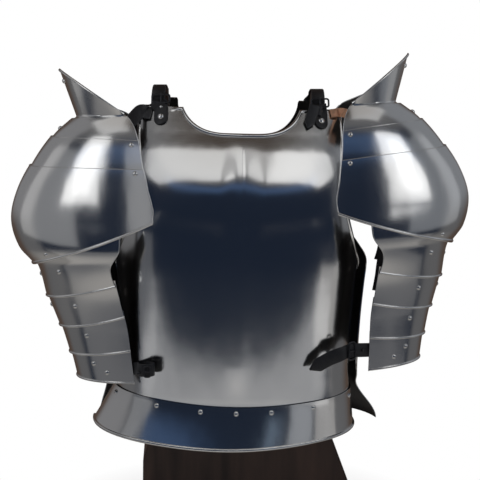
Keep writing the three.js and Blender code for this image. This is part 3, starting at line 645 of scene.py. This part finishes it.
def newMaterial(name, **values):
    material = bpy.data.materials.new(name + "_look")
    material.use_nodes = True
    tree = material.node_tree
    shader = setInputs(tree.nodes["Principled BSDF"], **values)
    return material, tree, shader, newNode(tree, "TexCoord").outputs["Object"]


steelLook = {
    "colour": (0.80, 0.797, 0.785, 1), "roughness": 0.11, "brushing": 0.05, "smudges": 0.08,
    "brushDepth": 0.0004, "brushStrength": 0.05, "dentDepth": 0.0022, "dentStrength": 0.5,
}


def steelMaterial():
    look = {"Metallic": 1, "Base Color": steelLook["colour"]}
    material, tree, shader, coords = newMaterial("polished_steel", **look)
    streaks = noiseNode(tree, stretched(tree, coords, (60, 60, 900)), 1, 5, 0.6)
    clouds = noiseNode(tree, coords, 9, 4, 0.6)
    dents = noiseNode(tree, stretched(tree, coords, (19, 19, 7)), 1, 2, 0.45)
    rough = mathNode(tree, "ADD", mathNode(tree, "MULTIPLY", streaks, steelLook["brushing"]),
                     mathNode(tree, "MULTIPLY", clouds, steelLook["smudges"]))
    rough = mathNode(tree, "ADD", rough, steelLook["roughness"])
    bump = bumpNode(tree, streaks, steelLook["brushStrength"], steelLook["brushDepth"])
    wave = bumpNode(tree, dents, steelLook["dentStrength"], steelLook["dentDepth"])
    setInputs(bump, Normal=wave.outputs["Normal"])
    setInputs(shader, Roughness=rough, Normal=bump.outputs["Normal"])
    return material


def plainMaterial(name, colour, roughness, metallic, grain, grainScale):
    look = {"Metallic": metallic, "Roughness": roughness}
    material, tree, shader, coords = newMaterial(name, **look)
    fine = noiseNode(tree, stretched(tree, coords, grainScale), 1, 6, 0.6)
    dark = tuple(c * (1 - grain) for c in colour)
    light = tuple(min(1, c * (1 + grain)) for c in colour)
    setInputs(shader, Base_Color=rampNode(tree, fine, [(0.3, dark), (0.7, light)]),
              Normal=bumpNode(tree, fine, 0.25, 0.0005).outputs["Normal"])
    return material


steel = steelMaterial()
# near-black steel for the hidden sides of the sheets: its darkness is painted shade, its roughness
# an unpolished finish
insideSteelPaintedShade = plainMaterial("inside_steel_painted_shade", (0.05, 0.048, 0.047), 0.5, 0.8, 0.2, (60, 60, 60))
leather = plainMaterial("black_leather", (0.012, 0.012, 0.014), 0.42, 0, 0.4, (420, 420, 420))
# tan leather for the right hanger, its colour raised above a tan leather's own colour as painted
# light
tanLeatherWithPaintedLight = plainMaterial("tan_leather_painted_light", (0.62, 0.33, 0.2), 0.6, 0, 0.35, (160, 160, 160))
blackSteel = plainMaterial("blackened_steel", (0.06, 0.06, 0.065), 0.32, 0.9, 0.2, (200, 200, 200))
wood = plainMaterial("dark_wood", (0.036, 0.017, 0.0105), 0.36, 0, 0.6, (25, 25, 3))
materials = {
    "polished_steel": steel, "black_leather": leather, "blackened_steel": blackSteel,
    "dark_wood": wood,
}
print("stage: materials made")


def plain(s, t):
    return 0 * s


def showFitting(base, side, shape, slot="black_leather", material=None):
    showShape(base + "_look_" + side, shape, base + "_" + side, slot, material)


# Breastplate, with closer columns in the middle and at the armholes
breast = {
    "across": 200, "up": 170, "middleSpacing": 0.62, "sideRim": (0.44, 0.05),
    "neckRimFade": 0.05,
}
columns = np.linspace(-1, 1, breast["across"])
columns = columns * (breast["middleSpacing"] + (1 - breast["middleSpacing"]) * columns ** 2)
edgeColumns = 1 - rimSteps * sizes["rim"] / torso["halfGirth"]
columns = columns[np.abs(columns) < edgeColumns[-1] - 0.002]
columns = np.unique(np.concatenate([columns, edgeColumns, -edgeColumns]))
rows = rimRows(breastSurface, columns, breast["up"], 0, sizes["rim"])


def breastLift(s, t):
    neck = bead((1 - t) * lineLength(breastSurface, s), sizes["rim"])
    neckOnly = 1 - rising(np.abs(s), torso["neckShare"], breast["neckRimFade"])
    side = bead((1 - np.abs(s)) * torso["halfGirth"], sizes["rim"]) * rising(t, *breast["sideRim"])
    return np.maximum(neck * neckOnly, side)


shell = shellArrays(breastSurface, columns, rows, breastLift, False)
showShape("breast", shell, "breastplate")

# Backplate
columns = np.linspace(-1, 1, backPlate["across"])
rows = rimRows(backSurface, columns, backPlate["up"], 0, 0)
shell = shellArrays(backSurface, columns, rows, plain, True)
showShape("back", shell, "backplate")

# Waist lame
columns = np.linspace(-1, 1, waistLame["across"])
rows = rimRows(waistLameSurface, columns, waistLame["up"], sizes["rim"], 0)
lift = beadEdges(waistLameSurface, sizes["rim"])
shell = shellArrays(waistLameSurface, columns, rows, lift, False)
rivets = rivetsOn(waistLameSurface, [(s, waistLame["rivetUp"]) for s in waistLame["rivets"]], False)
showShape("waist", joined([shell, rivets]), "waist_lame")
print("stage: torso plates made")

# Shoulder and arm defences
plateMesh = {
    "frontLip": 0.8, "seamLip": 0.55, "seams": (1, 2), "across": 90, "shoulderAcross": 110,
    "rows": (20, 20, 90, 22, 18, 18, 18), "capAcross": 80, "capRows": 24, "guardRows": 34,
    "guardRivet": (0.9, 0.8),
}
for side, mirror in (("left", -1), ("right", 1)):
    flip = mirror < 0
    for index, plate in enumerate(armPlates):
        surface = plateSurface(index, mirror)
        rim = (0, sizes["rim"], sizes["lip"])[plate[6]]
        lip = plateMesh["seamLip"] if index in plateMesh["seams"] else 0
        count = plateMesh["shoulderAcross" if index == shoulderIndex else "across"]
        frontColumns = -1 + rimSteps * plateMesh["frontLip"] / arm["halfGirth"]
        columns = np.concatenate([frontColumns, np.linspace(-0.98, 1, count)])
        rows = rimRows(surface, columns, plateMesh["rows"][index], rim, lip)
        lift = beadEdges(surface, rim, lip, plateMesh["frontLip"])
        shell = shellArrays(surface, columns, rows, lift, flip)
        name = plate[0] + "_" + side
        shape = joined([shell, rivetsOn(surface, plate[9], flip)])
        showShape(name + "_look", shape, name)
    cap = capSurface(mirror)
    columns = np.linspace(-1, 1, plateMesh["capAcross"])
    rows = rimRows(cap, columns, plateMesh["capRows"], 0, 0)
    capShell = shellArrays(cap, columns, rows, plain, flip)
    guard = guardSurface(mirror)
    rows = rimRows(guard, columns, plateMesh["guardRows"], 0, sizes["lip"])

    def guardRim(s, t):
        return bead((1 - t) * lineLength(guard, s), sizes["lip"]) * smooth(s + 1)

    guardShell = shellArrays(guard, columns, rows, guardRim, flip)
    shape = joined([capShell, guardShell, rivetsOn(guard, [plateMesh["guardRivet"]], flip)])
    showShape("guard_" + side, shape, "haute_piece_" + side)
print("stage: arm plates made")

# Place on the torso at a distance across and a height: point, across, up and outward
def torsoPlace(x, z, back=False):
    def at(px, pz):
        low, high = -math.pi / 2, math.pi / 2
        for _ in range(40):
            middle = (low + high) / 2
            if torsoPoint(middle, pz, back)[0] < px:
                low = middle
            else:
                high = middle
        return torsoPoint((low + high) / 2, pz, back)
    p = at(x, z)
    side = at(x + 2, z) - at(x - 2, z)
    side /= np.linalg.norm(side)
    rise = at(x, z + 2) - at(x, z - 2)
    rise /= np.linalg.norm(rise)
    n = np.cross(side, rise)
    return p, side, rise, -n if back else n


def backPlace(x, z):
    # the same on the backplate, which stands wider at the sides
    def spread(p):
        reach = outward(p, torso["back"])
        return reach * (backPlate["overlap"] * abs(reach[0]) + backPlate["proud"])
    p, side, rise, n = torsoPlace(x - spread(torsoPlace(x, z, True)[0])[0], z, True)
    return p + spread(p), side, rise, n


def beforeChest(x, z, away):
    upright = leaned(np.array([x, 0.0, z]), -torso["lean"], shoulderZ)
    return np.array([x, torsoPlace(upright[0], upright[2])[0][1] - away, z])


# Shoulder straps, tabs, buckles and rivets: x is the distance from the middle, heights are above
# the shoulder, a tongue is the strap's free end in front, a rivet is its radius and height
shoulderStrap = {
    "x": 123, "rise": 32.5, "width": 22, "tabHeights": (-28, -20, -12, -4),
    "tabTop": ((-1, 4.2, 7), (-2, 6.2, 13)), "rearHeights": (13, 5, -4, -14),
    "loopShift": {"left": -7, "right": -3},
    "tongue": {"left": ((0, -3.5, -14), (0, -5, -4)), "right": ((-6, -13, -16), (-4, -9, -3))},
    "buckleSeat": (-1, 6.2, 11), "rivets": ((-17, 5.2, 3.4), (-2, 2.6, 1.8)), "rivetSunk": 1,
}
# Buckles: width, height, wire and corner of the frame; wire, reach either way and lift of the prong
buckles = {
    "shoulder": (27, 13, 1.5, 3, 1.3, (-8, 8.5), (0.8, 2)),
    "armRight": (27, 14, 1.5, 3, 1.2, (-7, 7.5), (1, 1.6)),
    "armLeft": (9, 17, 1.1, 2.5, 1, (-4, 4.5), (0.5, 1.4)),
}
# Loop of a shoulder strap: shares of the way to the rear and of its rise
strapLine = [(0, 0.312), (0.069, 0.647), (0.193, 0.897), (0.349, 1), (0.524, 0.971), (0.69, 0.868),
             (0.814, 0.706)]
# Hangers: places in from the side of the chest and round the cap
hanger = {
    "inFromSide": (58, 50, 44), "below": {"left": 12, "right": 5}, "round": (-0.93, -0.8, -0.7),
    "capUp": 0.1, "capClear": 1.7, "width": {"left": 22, "right": 15},
    # hides: the right hanger's tan is partly painted light, and the left hanger's black is painted
    # shade on a strap of the same tan hide
    "hide": {"left": leather, "right": tanLeatherWithPaintedLight},
}
# Leathers inside an arm: share of the way down, and lift in steps
carrier = {"width": 18, "line": [
    (0.16, -4.44), (0.22, -3.61), (0.3, -2.33), (0.42, -2.11), (0.48, -3.6), (0.52, -5.5),
    (0.56, -5.5), (0.62, -2.67), (0.69, -2.56), (0.77, -2.44), (0.87, -2.44), (0.97, -2)]}
rightAcross = np.array([1.0, 0, 0])
upright = np.array([0, 0, 1.0])


def buckleArrays(kind, seat, side, up, along, face):
    wide, tall, wire, corner, prongWire, reach, lift = buckles[kind]
    ends = [seat + along * reach[i] + face * lift[i] for i in (0, 1)]
    return [ringArrays(seat, side, up, wide, tall, wire, corner), rodArrays(*ends, prongWire)]


for side, mirror in (("left", -1), ("right", 1)):
    tabX = mirror * shoulderStrap["x"] + 2
    topX = mirror * shoulderStrap["x"] - 4
    shift = shoulderStrap["loopShift"][side]
    lowX = tabX + shift * 0.5
    places = [torsoPlace(lowX, shoulderZ + z) for z in shoulderStrap["tabHeights"]]
    tab = [p + n * leatherSeat for p, _, _, n in places]
    top = tab[-1]
    tab += [top + np.array(off) for off in shoulderStrap["tabTop"]]
    across = [place[1] for place in places]
    across += [across[3] * 0.6 + rightAcross * 0.4, across[3] * 0.3 + rightAcross * 0.7]
    shape = strapArrays(onTorso(np.array(tab)), across, shoulderStrap["width"], "round")
    showFitting("shoulder_tab", side, shape)

    rear = [backPlace(topX, shoulderZ + z) for z in shoulderStrap["rearHeights"]]
    frontY, rearY = top[1] + 6, rear[0][0][1]
    path = [np.array([tabX + shift * (1 - y) - 2, frontY + (rearY - frontY) * y,
                      shoulderZ + shoulderStrap["rise"] * z]) for y, z in strapLine]
    path = [path[0] + np.array(off) for off in shoulderStrap["tongue"][side]] + path
    across = [rightAcross] * len(path) + [place[1] for place in rear]
    path += [p + n * leatherSeat for p, _, _, n in rear]
    shape = strapArrays(onTorso(np.array(path)), across, shoulderStrap["width"] - 1, count=90)
    showFitting("shoulder_strap", side, shape)

    face = np.array([0, -0.941, 0.339])
    seatX, seatY, seatZ = shoulderStrap["buckleSeat"]
    seat = np.array([lowX + seatX, top[1] + seatY, shoulderZ + seatZ])
    seat = onTorso(seat + face * (sizes["leather"] / 2 + 2.2))
    up = np.cross(face, rightAcross)
    shape = joined(buckleArrays("shoulder", seat, rightAcross, up, up, face))
    showFitting("shoulder_buckle", side, shape, "blackened_steel")

    rivets = []
    for z, radius, height in shoulderStrap["rivets"]:
        p, _, _, n = torsoPlace(lowX, shoulderZ + z)
        seat = onTorso(p + n * (sizes["leather"] + 0.6))
        rivets.append(domeArrays([seat], [n], radius, height, shoulderStrap["rivetSunk"]))
    showFitting("shoulder_rivet", side, joined(rivets), "polished_steel")

    # hanger: short leather from the breastplate's shoulder to the cap of the arm
    line, across = [], []
    z = shoulderZ - hanger["below"][side]
    for i, x in enumerate(hanger["inFromSide"]):
        p, _, rise, n = torsoPlace(mirror * (torso["halfWidth"] - x), z)
        line.append(onTorso(p + n * (sizes["leather"] / 2 + sizes["gap"] * 2 + i * sizes["rim"])))
        across.append(rise)
    cap = capSurface(mirror)
    for s in hanger["round"]:
        at, up = np.array([s]), np.array([hanger["capUp"]])
        n = normals(cap, at, up)[0] * mirror
        line.append(cap(at, up)[0] - n * (step + hanger["capClear"] + sizes["leather"] / 2))
        across.append(cap(at, up + 0.05)[0] - cap(at, up - 0.05)[0])
    shape = strapArrays(line, across, hanger["width"][side])
    showFitting("hanger", side, shape, material=hanger["hide"][side])

    for place, around in (("front", -0.5), ("rear", 0.5)):
        down, lift = np.array(carrier["line"]).T
        around = around + 0 * down
        line = armPlace(around, down, lift * step - sizes["leather"] / 2, mirror)
        across = (armPlace(around + 0.02, down, lift * step, mirror)
                  - armPlace(around - 0.02, down, lift * step, mirror))
        shape = strapArrays(line, across, carrier["width"], count=80)
        showFitting("carrier", place + "_" + side, shape)

# Pointed end of the right shoulder strap: across from the strap, above the shoulder, off the chest
strapEnd = {"width": 17, "line": [(-11, 2, 9), (-14, -8, 6.5), (-18, -18, 4), (-22, -29, 2)]}
line, across = [], []
for x, z, away in strapEnd["line"]:
    p, way, _, n = torsoPlace(shoulderStrap["x"] + x, shoulderZ + z)
    line.append(onTorso(p + n * (sizes["leather"] / 2 + away)))
    across.append(way)
shape = strapArrays(line, across, strapEnd["width"], "square", "point")
showShape("strap_end_look", shape, "strap_end_right", "black_leather")

# Arm straps from inside the lowest lames: share of the way down, then the buckled one's places
# across, up and off the chest, and the rolled one's turns
armStrap = {
    "round": (-0.7, -0.85, -1), "liftShare": 0.96, "downRight": 0.92, "widthRight": 22,
    "seatRight": (-31, -16.5, 2.6),
    "line": ((-47, 0.6, 36), (-64, -5.4, 23), (-81, -13.4, 17), (-97, -21.4, 12)),
    "downLeft": 0.94, "widthLeft": 20, "rollOff": (22.2, 6, 18.7), "rollPoints": 19,
    "rollTurn": (1.15, 0.09375), "rollRadius": (14.5, 0.28), "rollDepth": 0.8,
}


def armEnds(mirror, down):
    around = np.array(armStrap["round"])
    lift = guardForm["lift"] * armStrap["liftShare"]
    return list(armPlace(around, down + 0 * around, lift + 0 * around, mirror))


line = armEnds(1, armStrap["downRight"])
start = line[-1]
seat = start + np.array(armStrap["seatRight"])
line.append(seat)
line += [beforeChest(start[0] + x, start[2] + z, away) for x, z, away in armStrap["line"]]
way = line[4] - seat
tilted = np.array([0, 0.05, 1])
shape = strapArrays(line, [tilted] * len(line), armStrap["widthRight"], "square", "point", 90)
showFitting("arm_strap", "right", shape)
face = np.cross(upright, way)
face *= -np.sign(face[1]) / np.linalg.norm(face)
rivet = domeArrays([start + (seat - start) * 0.35 + face * 1.6], [face], 2.6, 1.8, 1)
seat = seat + face * (sizes["leather"] / 2 + 1.6)
across = np.cross(face, upright)
shape = joined(buckleArrays("armRight", seat, upright, across, across, face) + [rivet])
showFitting("arm_buckle", "right", shape, "blackened_steel")

line = armEnds(-1, armStrap["downLeft"])
x, z, away = armStrap["rollOff"]
centre = beforeChest(line[-1][0] + x, line[-1][2] + z, away)
turns = np.arange(armStrap["rollPoints"])
radius = armStrap["rollRadius"][0] - armStrap["rollRadius"][1] * turns
turns = np.pi * (armStrap["rollTurn"][0] - armStrap["rollTurn"][1] * turns)
roll = np.stack([np.cos(turns), -armStrap["rollDepth"] * np.sin(turns), 0 * turns], -1)
line += list(centre + roll * radius[:, None])
shape = strapArrays(line, [upright] * len(line), armStrap["widthLeft"], count=110)
showFitting("arm_strap", "left", shape)
face = np.array([0, -1.0, 0])
rivet = domeArrays([centre + np.array([-12, -11, -4])], [face], 2.8, 1.8, 1)
seat = centre + np.array([1, -14, -1])
shape = joined(buckleArrays("armLeft", seat, rightAcross, upright, rightAcross, face) + [rivet])
showFitting("arm_buckle", "left", shape, "blackened_steel")
print("stage: leathers made")

# Stand: flared foot, and a post with a yoke whose pegs carry the shoulder straps
stand = {
    "footHeight": 168, "footDepth": 164, "footY": -4, "topHalf": 139, "flare": 58, "post": 34,
    "postY": 3, "strapRise": 34, "strapGaps": 6.6, "yokeHeight": 115, "yokeDepth": 34,
    "pegHalf": 9, "footEdge": 0.003, "postEdge": 0.002,
}


def extruded(outline, depth, middleY):
    # outline in (x, z), closed, run from front to back
    flat = np.array(outline, float)
    count = len(flat)
    front = np.stack([flat[:, 0], np.full(count, middleY - depth / 2), flat[:, 1]], -1)
    rear = front + np.array([0, depth, 0])
    faces = [list(range(count)), list(range(2 * count - 1, count - 1, -1))]
    faces += [[i, i + count, (i + 1) % count + count, (i + 1) % count] for i in range(count)]
    return np.concatenate([front, rear]), faces


def bevelled(obj, width):
    bevel = obj.modifiers.new("soft edges", "BEVEL")
    bevel.width = width
    bevel.segments = 3
    bevel.limit_method = "ANGLE"
    return obj


t, f, h = stand["topHalf"], stand["flare"], stand["footHeight"]
outline = [(-t - 20, 0), (t + f, 0), (t - 4, h), (-t - 6, h), (-t - 18, h * 0.7)]
points, faces = extruded(outline, stand["footDepth"], stand["footY"])
foot = bevelled(meshObject("foot_look", points, faces, wood), stand["footEdge"])
show(foot, ["stand_foot"])
pegTop = shoulderZ + stand["strapRise"] - sizes["leather"] / 2 - sizes["gap"] * stand["strapGaps"]
yokeLow = pegTop - stand["yokeHeight"]
q, k = shoulderStrap["x"], stand["pegHalf"]
half = [(0, 0), (q * 0.73, 0.19), (q + k, 0.54), (q + k, 1), (q - k, 1), (q - k * 1.3, 0.66),
        (q * 0.715, 0.485), (q * 0.41, 0.225), (0, 0.19)]
half = [(x, yokeLow + stand["yokeHeight"] * z) for x, z in half]
half += [(-x, z) for x, z in half[-2:0:-1]]
points, faces = extruded(half, stand["yokeDepth"], stand["postY"])
w = stand["post"] / 2
low, high = h + sizes["gap"], yokeLow + stand["yokeHeight"] * 0.1
postShape = extruded([(-w, low), (w, low), (w, high), (-w, high)], stand["post"], stand["postY"])
points, faces, uv = joined([(onTorso(points), faces, None), (*postShape, None)])
post = bevelled(meshObject("post_look", points, faces, wood), stand["postEdge"])
show(post, ["stand_post"])
print("stage: stand made")

# Studio: pale floor, soft lights, plain white behind
studio = {
    "floorHalf": 6.0, "floorColour": (0.86, 0.86, 0.86, 1), "shadeWithin": 0.12,
    "whiteBeyond": 0.34, "leastGlow": 0.7,
}
floorMesh = bpy.data.meshes.new("floor")
h = studio["floorHalf"]
floorMesh.from_pydata([(-h, -h, 0), (h, -h, 0), (h, h, 0), (-h, h, 0)], [], [(0, 1, 2, 3)])
floor = bpy.data.objects.new("floor", floorMesh)
bpy.context.scene.collection.objects.link(floor)
look = {"Base Color": studio["floorColour"], "Roughness": 0.9}
floorMaterial, tree, shader, coords = newMaterial("floor", **look)
glow = newNode(tree, "Emission", Color=(1, 1, 1, 1), Strength=1)
length = newNode(tree, "VectorMath")
length.operation = "LENGTH"
fill(length.inputs[0], coords)
fade = newNode(tree, "MapRange", Value=length.outputs["Value"], From_Min=studio["shadeWithin"],
               From_Max=studio["whiteBeyond"], To_Min=studio["leastGlow"])
mix = newNode(tree, "MixShader", Fac=fade.outputs["Result"])
fill(mix.inputs[1], shader.outputs["BSDF"])
fill(mix.inputs[2], glow.outputs["Emission"])
setInputs(tree.nodes["Material Output"], Surface=mix.outputs["Shader"])
floorMesh.materials.append(floorMaterial)
floor.visible_glossy = False

# Surroundings seen only in the reflections: patches of light and dark by direction.
# Each patch: azimuth from the front (right positive), elevation, half sizes, softness, colour
surroundings = {
    "base": (0.12, 0.12, 0.125),
    "patches": [
        (180, 0, 52, 90, 18, (0.082, 0.058, 0.046)),
        (-118, 30, 33, 32, 12, (0.22, 0.22, 0.23)),
        (118, 30, 33, 32, 12, (0.22, 0.23, 0.25)),
        (0, 80, 180, 14, 14, (0.05, 0.038, 0.03)),
        (0, 6, 84, 36, 9, (0.011, 0.017, 0.032)),
        (4, 32, 60, 5, 6, (0.05, 0.09, 0.18)),
        (0, -62, 180, 28, 14, (0.26, 0.25, 0.24)),
    ],
}


def makeWorld():
    world = bpy.data.worlds.new("studio")
    bpy.context.scene.world = world
    world.use_nodes = True
    tree = world.node_tree
    tree.nodes.clear()
    direction = newNode(tree, "TexCoord").outputs["Generated"]
    split = newNode(tree, "SeparateXYZ", Vector=direction)
    ahead = mathNode(tree, "MULTIPLY", split.outputs["Y"], -1.0)
    azimuth = mathNode(tree, "ARCTAN2", split.outputs["X"], ahead)
    elevation = mathNode(tree, "ARCSINE", split.outputs["Z"])
    colour = None
    everywhere = (0, 0, 360, 360, 1, surroundings["base"])
    for az, el, wide, tall, soft, value in [everywhere] + surroundings["patches"]:
        rgb = newNode(tree, "RGB")
        rgb.outputs[0].default_value = (*value, 1)
        if colour is None:
            colour = rgb.outputs[0]
            continue
        off = mathNode(tree, "ABSOLUTE", mathNode(tree, "SUBTRACT", azimuth, math.radians(az)))
        off = mathNode(tree, "MINIMUM", off, mathNode(tree, "SUBTRACT", 2 * math.pi, off))
        up = mathNode(tree, "ABSOLUTE", mathNode(tree, "SUBTRACT", elevation, math.radians(el)))
        masks = []
        for distance, half in ((off, wide), (up, tall)):
            ramp = newNode(tree, "MapRange")
            ramp.interpolation_type = "SMOOTHERSTEP"
            setInputs(ramp, Value=distance, From_Min=math.radians(half + soft),
                      From_Max=math.radians(half - soft))
            masks.append(ramp.outputs["Result"])
        mix = newNode(tree, "Mix")
        mix.data_type = "RGBA"
        both = mathNode(tree, "MULTIPLY", *masks)
        setInputs(mix, Factor=both, A=colour, B=rgb.outputs[0])
        colour = mix.outputs["Result"]
    seen = newNode(tree, "Background", Color=colour)
    white = newNode(tree, "Background", Color=(1, 1, 1, 1))
    blend = newNode(tree, "MixShader", Fac=newNode(tree, "LightPath").outputs["Is Camera Ray"])
    fill(blend.inputs[1], seen.outputs["Background"])
    fill(blend.inputs[2], white.outputs["Background"])
    newNode(tree, "OutputWorld", Surface=blend.outputs["Shader"])


makeWorld()

# Soft panels near the armour: whether for the breastplate and waist lame, for the waist lame only
# or for all the rest, then middle, the way it faces, width, height, brightness, colour
white, cool, warm = (1, 1, 1), (0.93, 0.96, 1), (1, 0.97, 0.93)
panels = {
    "armsLeft": ("arms", (-0.59, -0.55, 0.96), (0.5, 0.8, 0.0), 0.36, 0.62, 0.95, white),
    "armsLeftCore": ("arms", (-0.56, -0.53, 0.88), (0.5, 0.8, 0.0), 0.18, 0.36, 0.4, white),
    "armsRight": ("arms", (0.69, -0.55, 0.90), (-0.5, 0.8, 0.0), 0.44, 0.52, 1.0, white),
    "armsRightCore": ("arms", (0.68, -0.53, 0.86), (-0.5, 0.8, 0.0), 0.2, 0.32, 0.4, white),
    "armsSideLeft": ("arms", (-1.25, -0.45, 0.8), (1, 0.15, 0.0), 1.5, 1.1, 0.21, white),
    "armsSideRight": ("arms", (1.3, -0.45, 0.8), (-1, 0.15, 0.0), 1.5, 1.1, 0.18, cool),
    "armsAboveLeft": ("arms", (-0.42, -0.25, 1.4), (0, 0, -1), 0.45, 0.7, 0.42, white),
    "armsAboveRight": ("arms", (0.42, -0.2, 1.4), (0, 0, -1), 0.45, 0.6, 0.36, white),
    "armsBelow": ("arms", (0, -0.95, 0.01), (0, 0, 1), 2.8, 1.3, 0.13, warm),
    "armsInnerLeft": ("arms", (-0.105, -0.55, 0.72), (0, 1, 0), 0.17, 0.5, 0.27, white),
    "chestAboveLeft": ("chest", (-0.96, -0.66, 1.46), (0, 0, -1), 2.06, 0.6, 0.64, white),
    "chestAboveMiddle": ("chest", (0.16, -0.66, 1.46), (0, 0, -1), 0.18, 0.56, 0.32, white),
    "chestAboveRight": ("chest", (1.25, -0.66, 1.46), (0, 0, -1), 1.98, 0.62, 0.85, white),
    "chestBelow": ("chest", (0, -0.56, 0.01), (0, 0, 1), 2.6, 0.52, 0.33, white),
    "waistLeft": ("waist", (-1.2, -0.58, 0.66), (1, 0, 0), 0.7, 0.44, 0.2, white),
    "waistRight": ("waist", (0.52, -0.55, 0.2), (0, 1, 0), 0.36, 0.2, 0.3, cool),
    "waistMiddle": ("waist", (0.36, -0.8, 0.42), (-0.35, 1, -0.35), 0.16, 0.4, 0.2, (0.6, 0.78, 1)),
    "chestLowRight": ("chest", (1.1, -0.4, 0.1), (-0.9, 0.4, 0.1), 0.6, 0.3, 0.3, warm),
    "chestSideLeft": ("chest", (-1.2, -0.45, 0.2), (0.9, 0.4, 0.1), 0.5, 0.6, 0.09, white),
}
groups = {name: bpy.data.collections.new(name + " lit") for name in ("chest", "waist", "arms")}
for obj in list(bpy.context.scene.collection.all_objects):
    if obj.type == "MESH":
        groups["chest" if obj.name in ("breast", "waist") else "arms"].objects.link(obj)
        if obj.name.startswith(("upper_lame", "shoulder_plate")):
            obj.visible_glossy = False  # so that the chest mirrors the studio up to its armholes
        if obj.name == "waist":
            groups["waist"].objects.link(obj)
for name, (group, place, way, wide, tall, brightness, colour) in panels.items():
    light = bpy.data.lights.new(name, "AREA")
    light.shape = "RECTANGLE"
    light.size = wide
    light.size_y = tall
    light.color = colour
    light.energy = brightness * math.pi * wide * tall
    lamp = bpy.data.objects.new(name, light)
    lamp.location = place
    lamp.rotation_euler = Vector(way).to_track_quat("-Z", "Y").to_euler()
    lamp.visible_camera = False
    lamp.light_linking.receiver_collection = groups[group]
    bpy.context.scene.collection.objects.link(lamp)

# Camera
view = {"distance": 2.0, "azimuth": -3.0, "height": 0.7, "pitch": -6.94, "lens": 93.75}
camera = bpy.data.cameras.new("camera")
camera.lens = view["lens"]
camera.sensor_width = 36
cameraObject = bpy.data.objects.new("camera", camera)
azimuth = math.radians(view["azimuth"])
away = view["distance"]
cameraObject.location = (away * math.sin(azimuth), -away * math.cos(azimuth), view["height"])
cameraObject.rotation_euler = (math.radians(90 + view["pitch"]), 0, azimuth)
bpy.context.scene.collection.objects.link(cameraObject)
bpy.context.scene.camera = cameraObject

scene = bpy.context.scene
scene.view_settings.view_transform = "Standard"
scene.view_settings.look = "None"
print("stage: studio made")
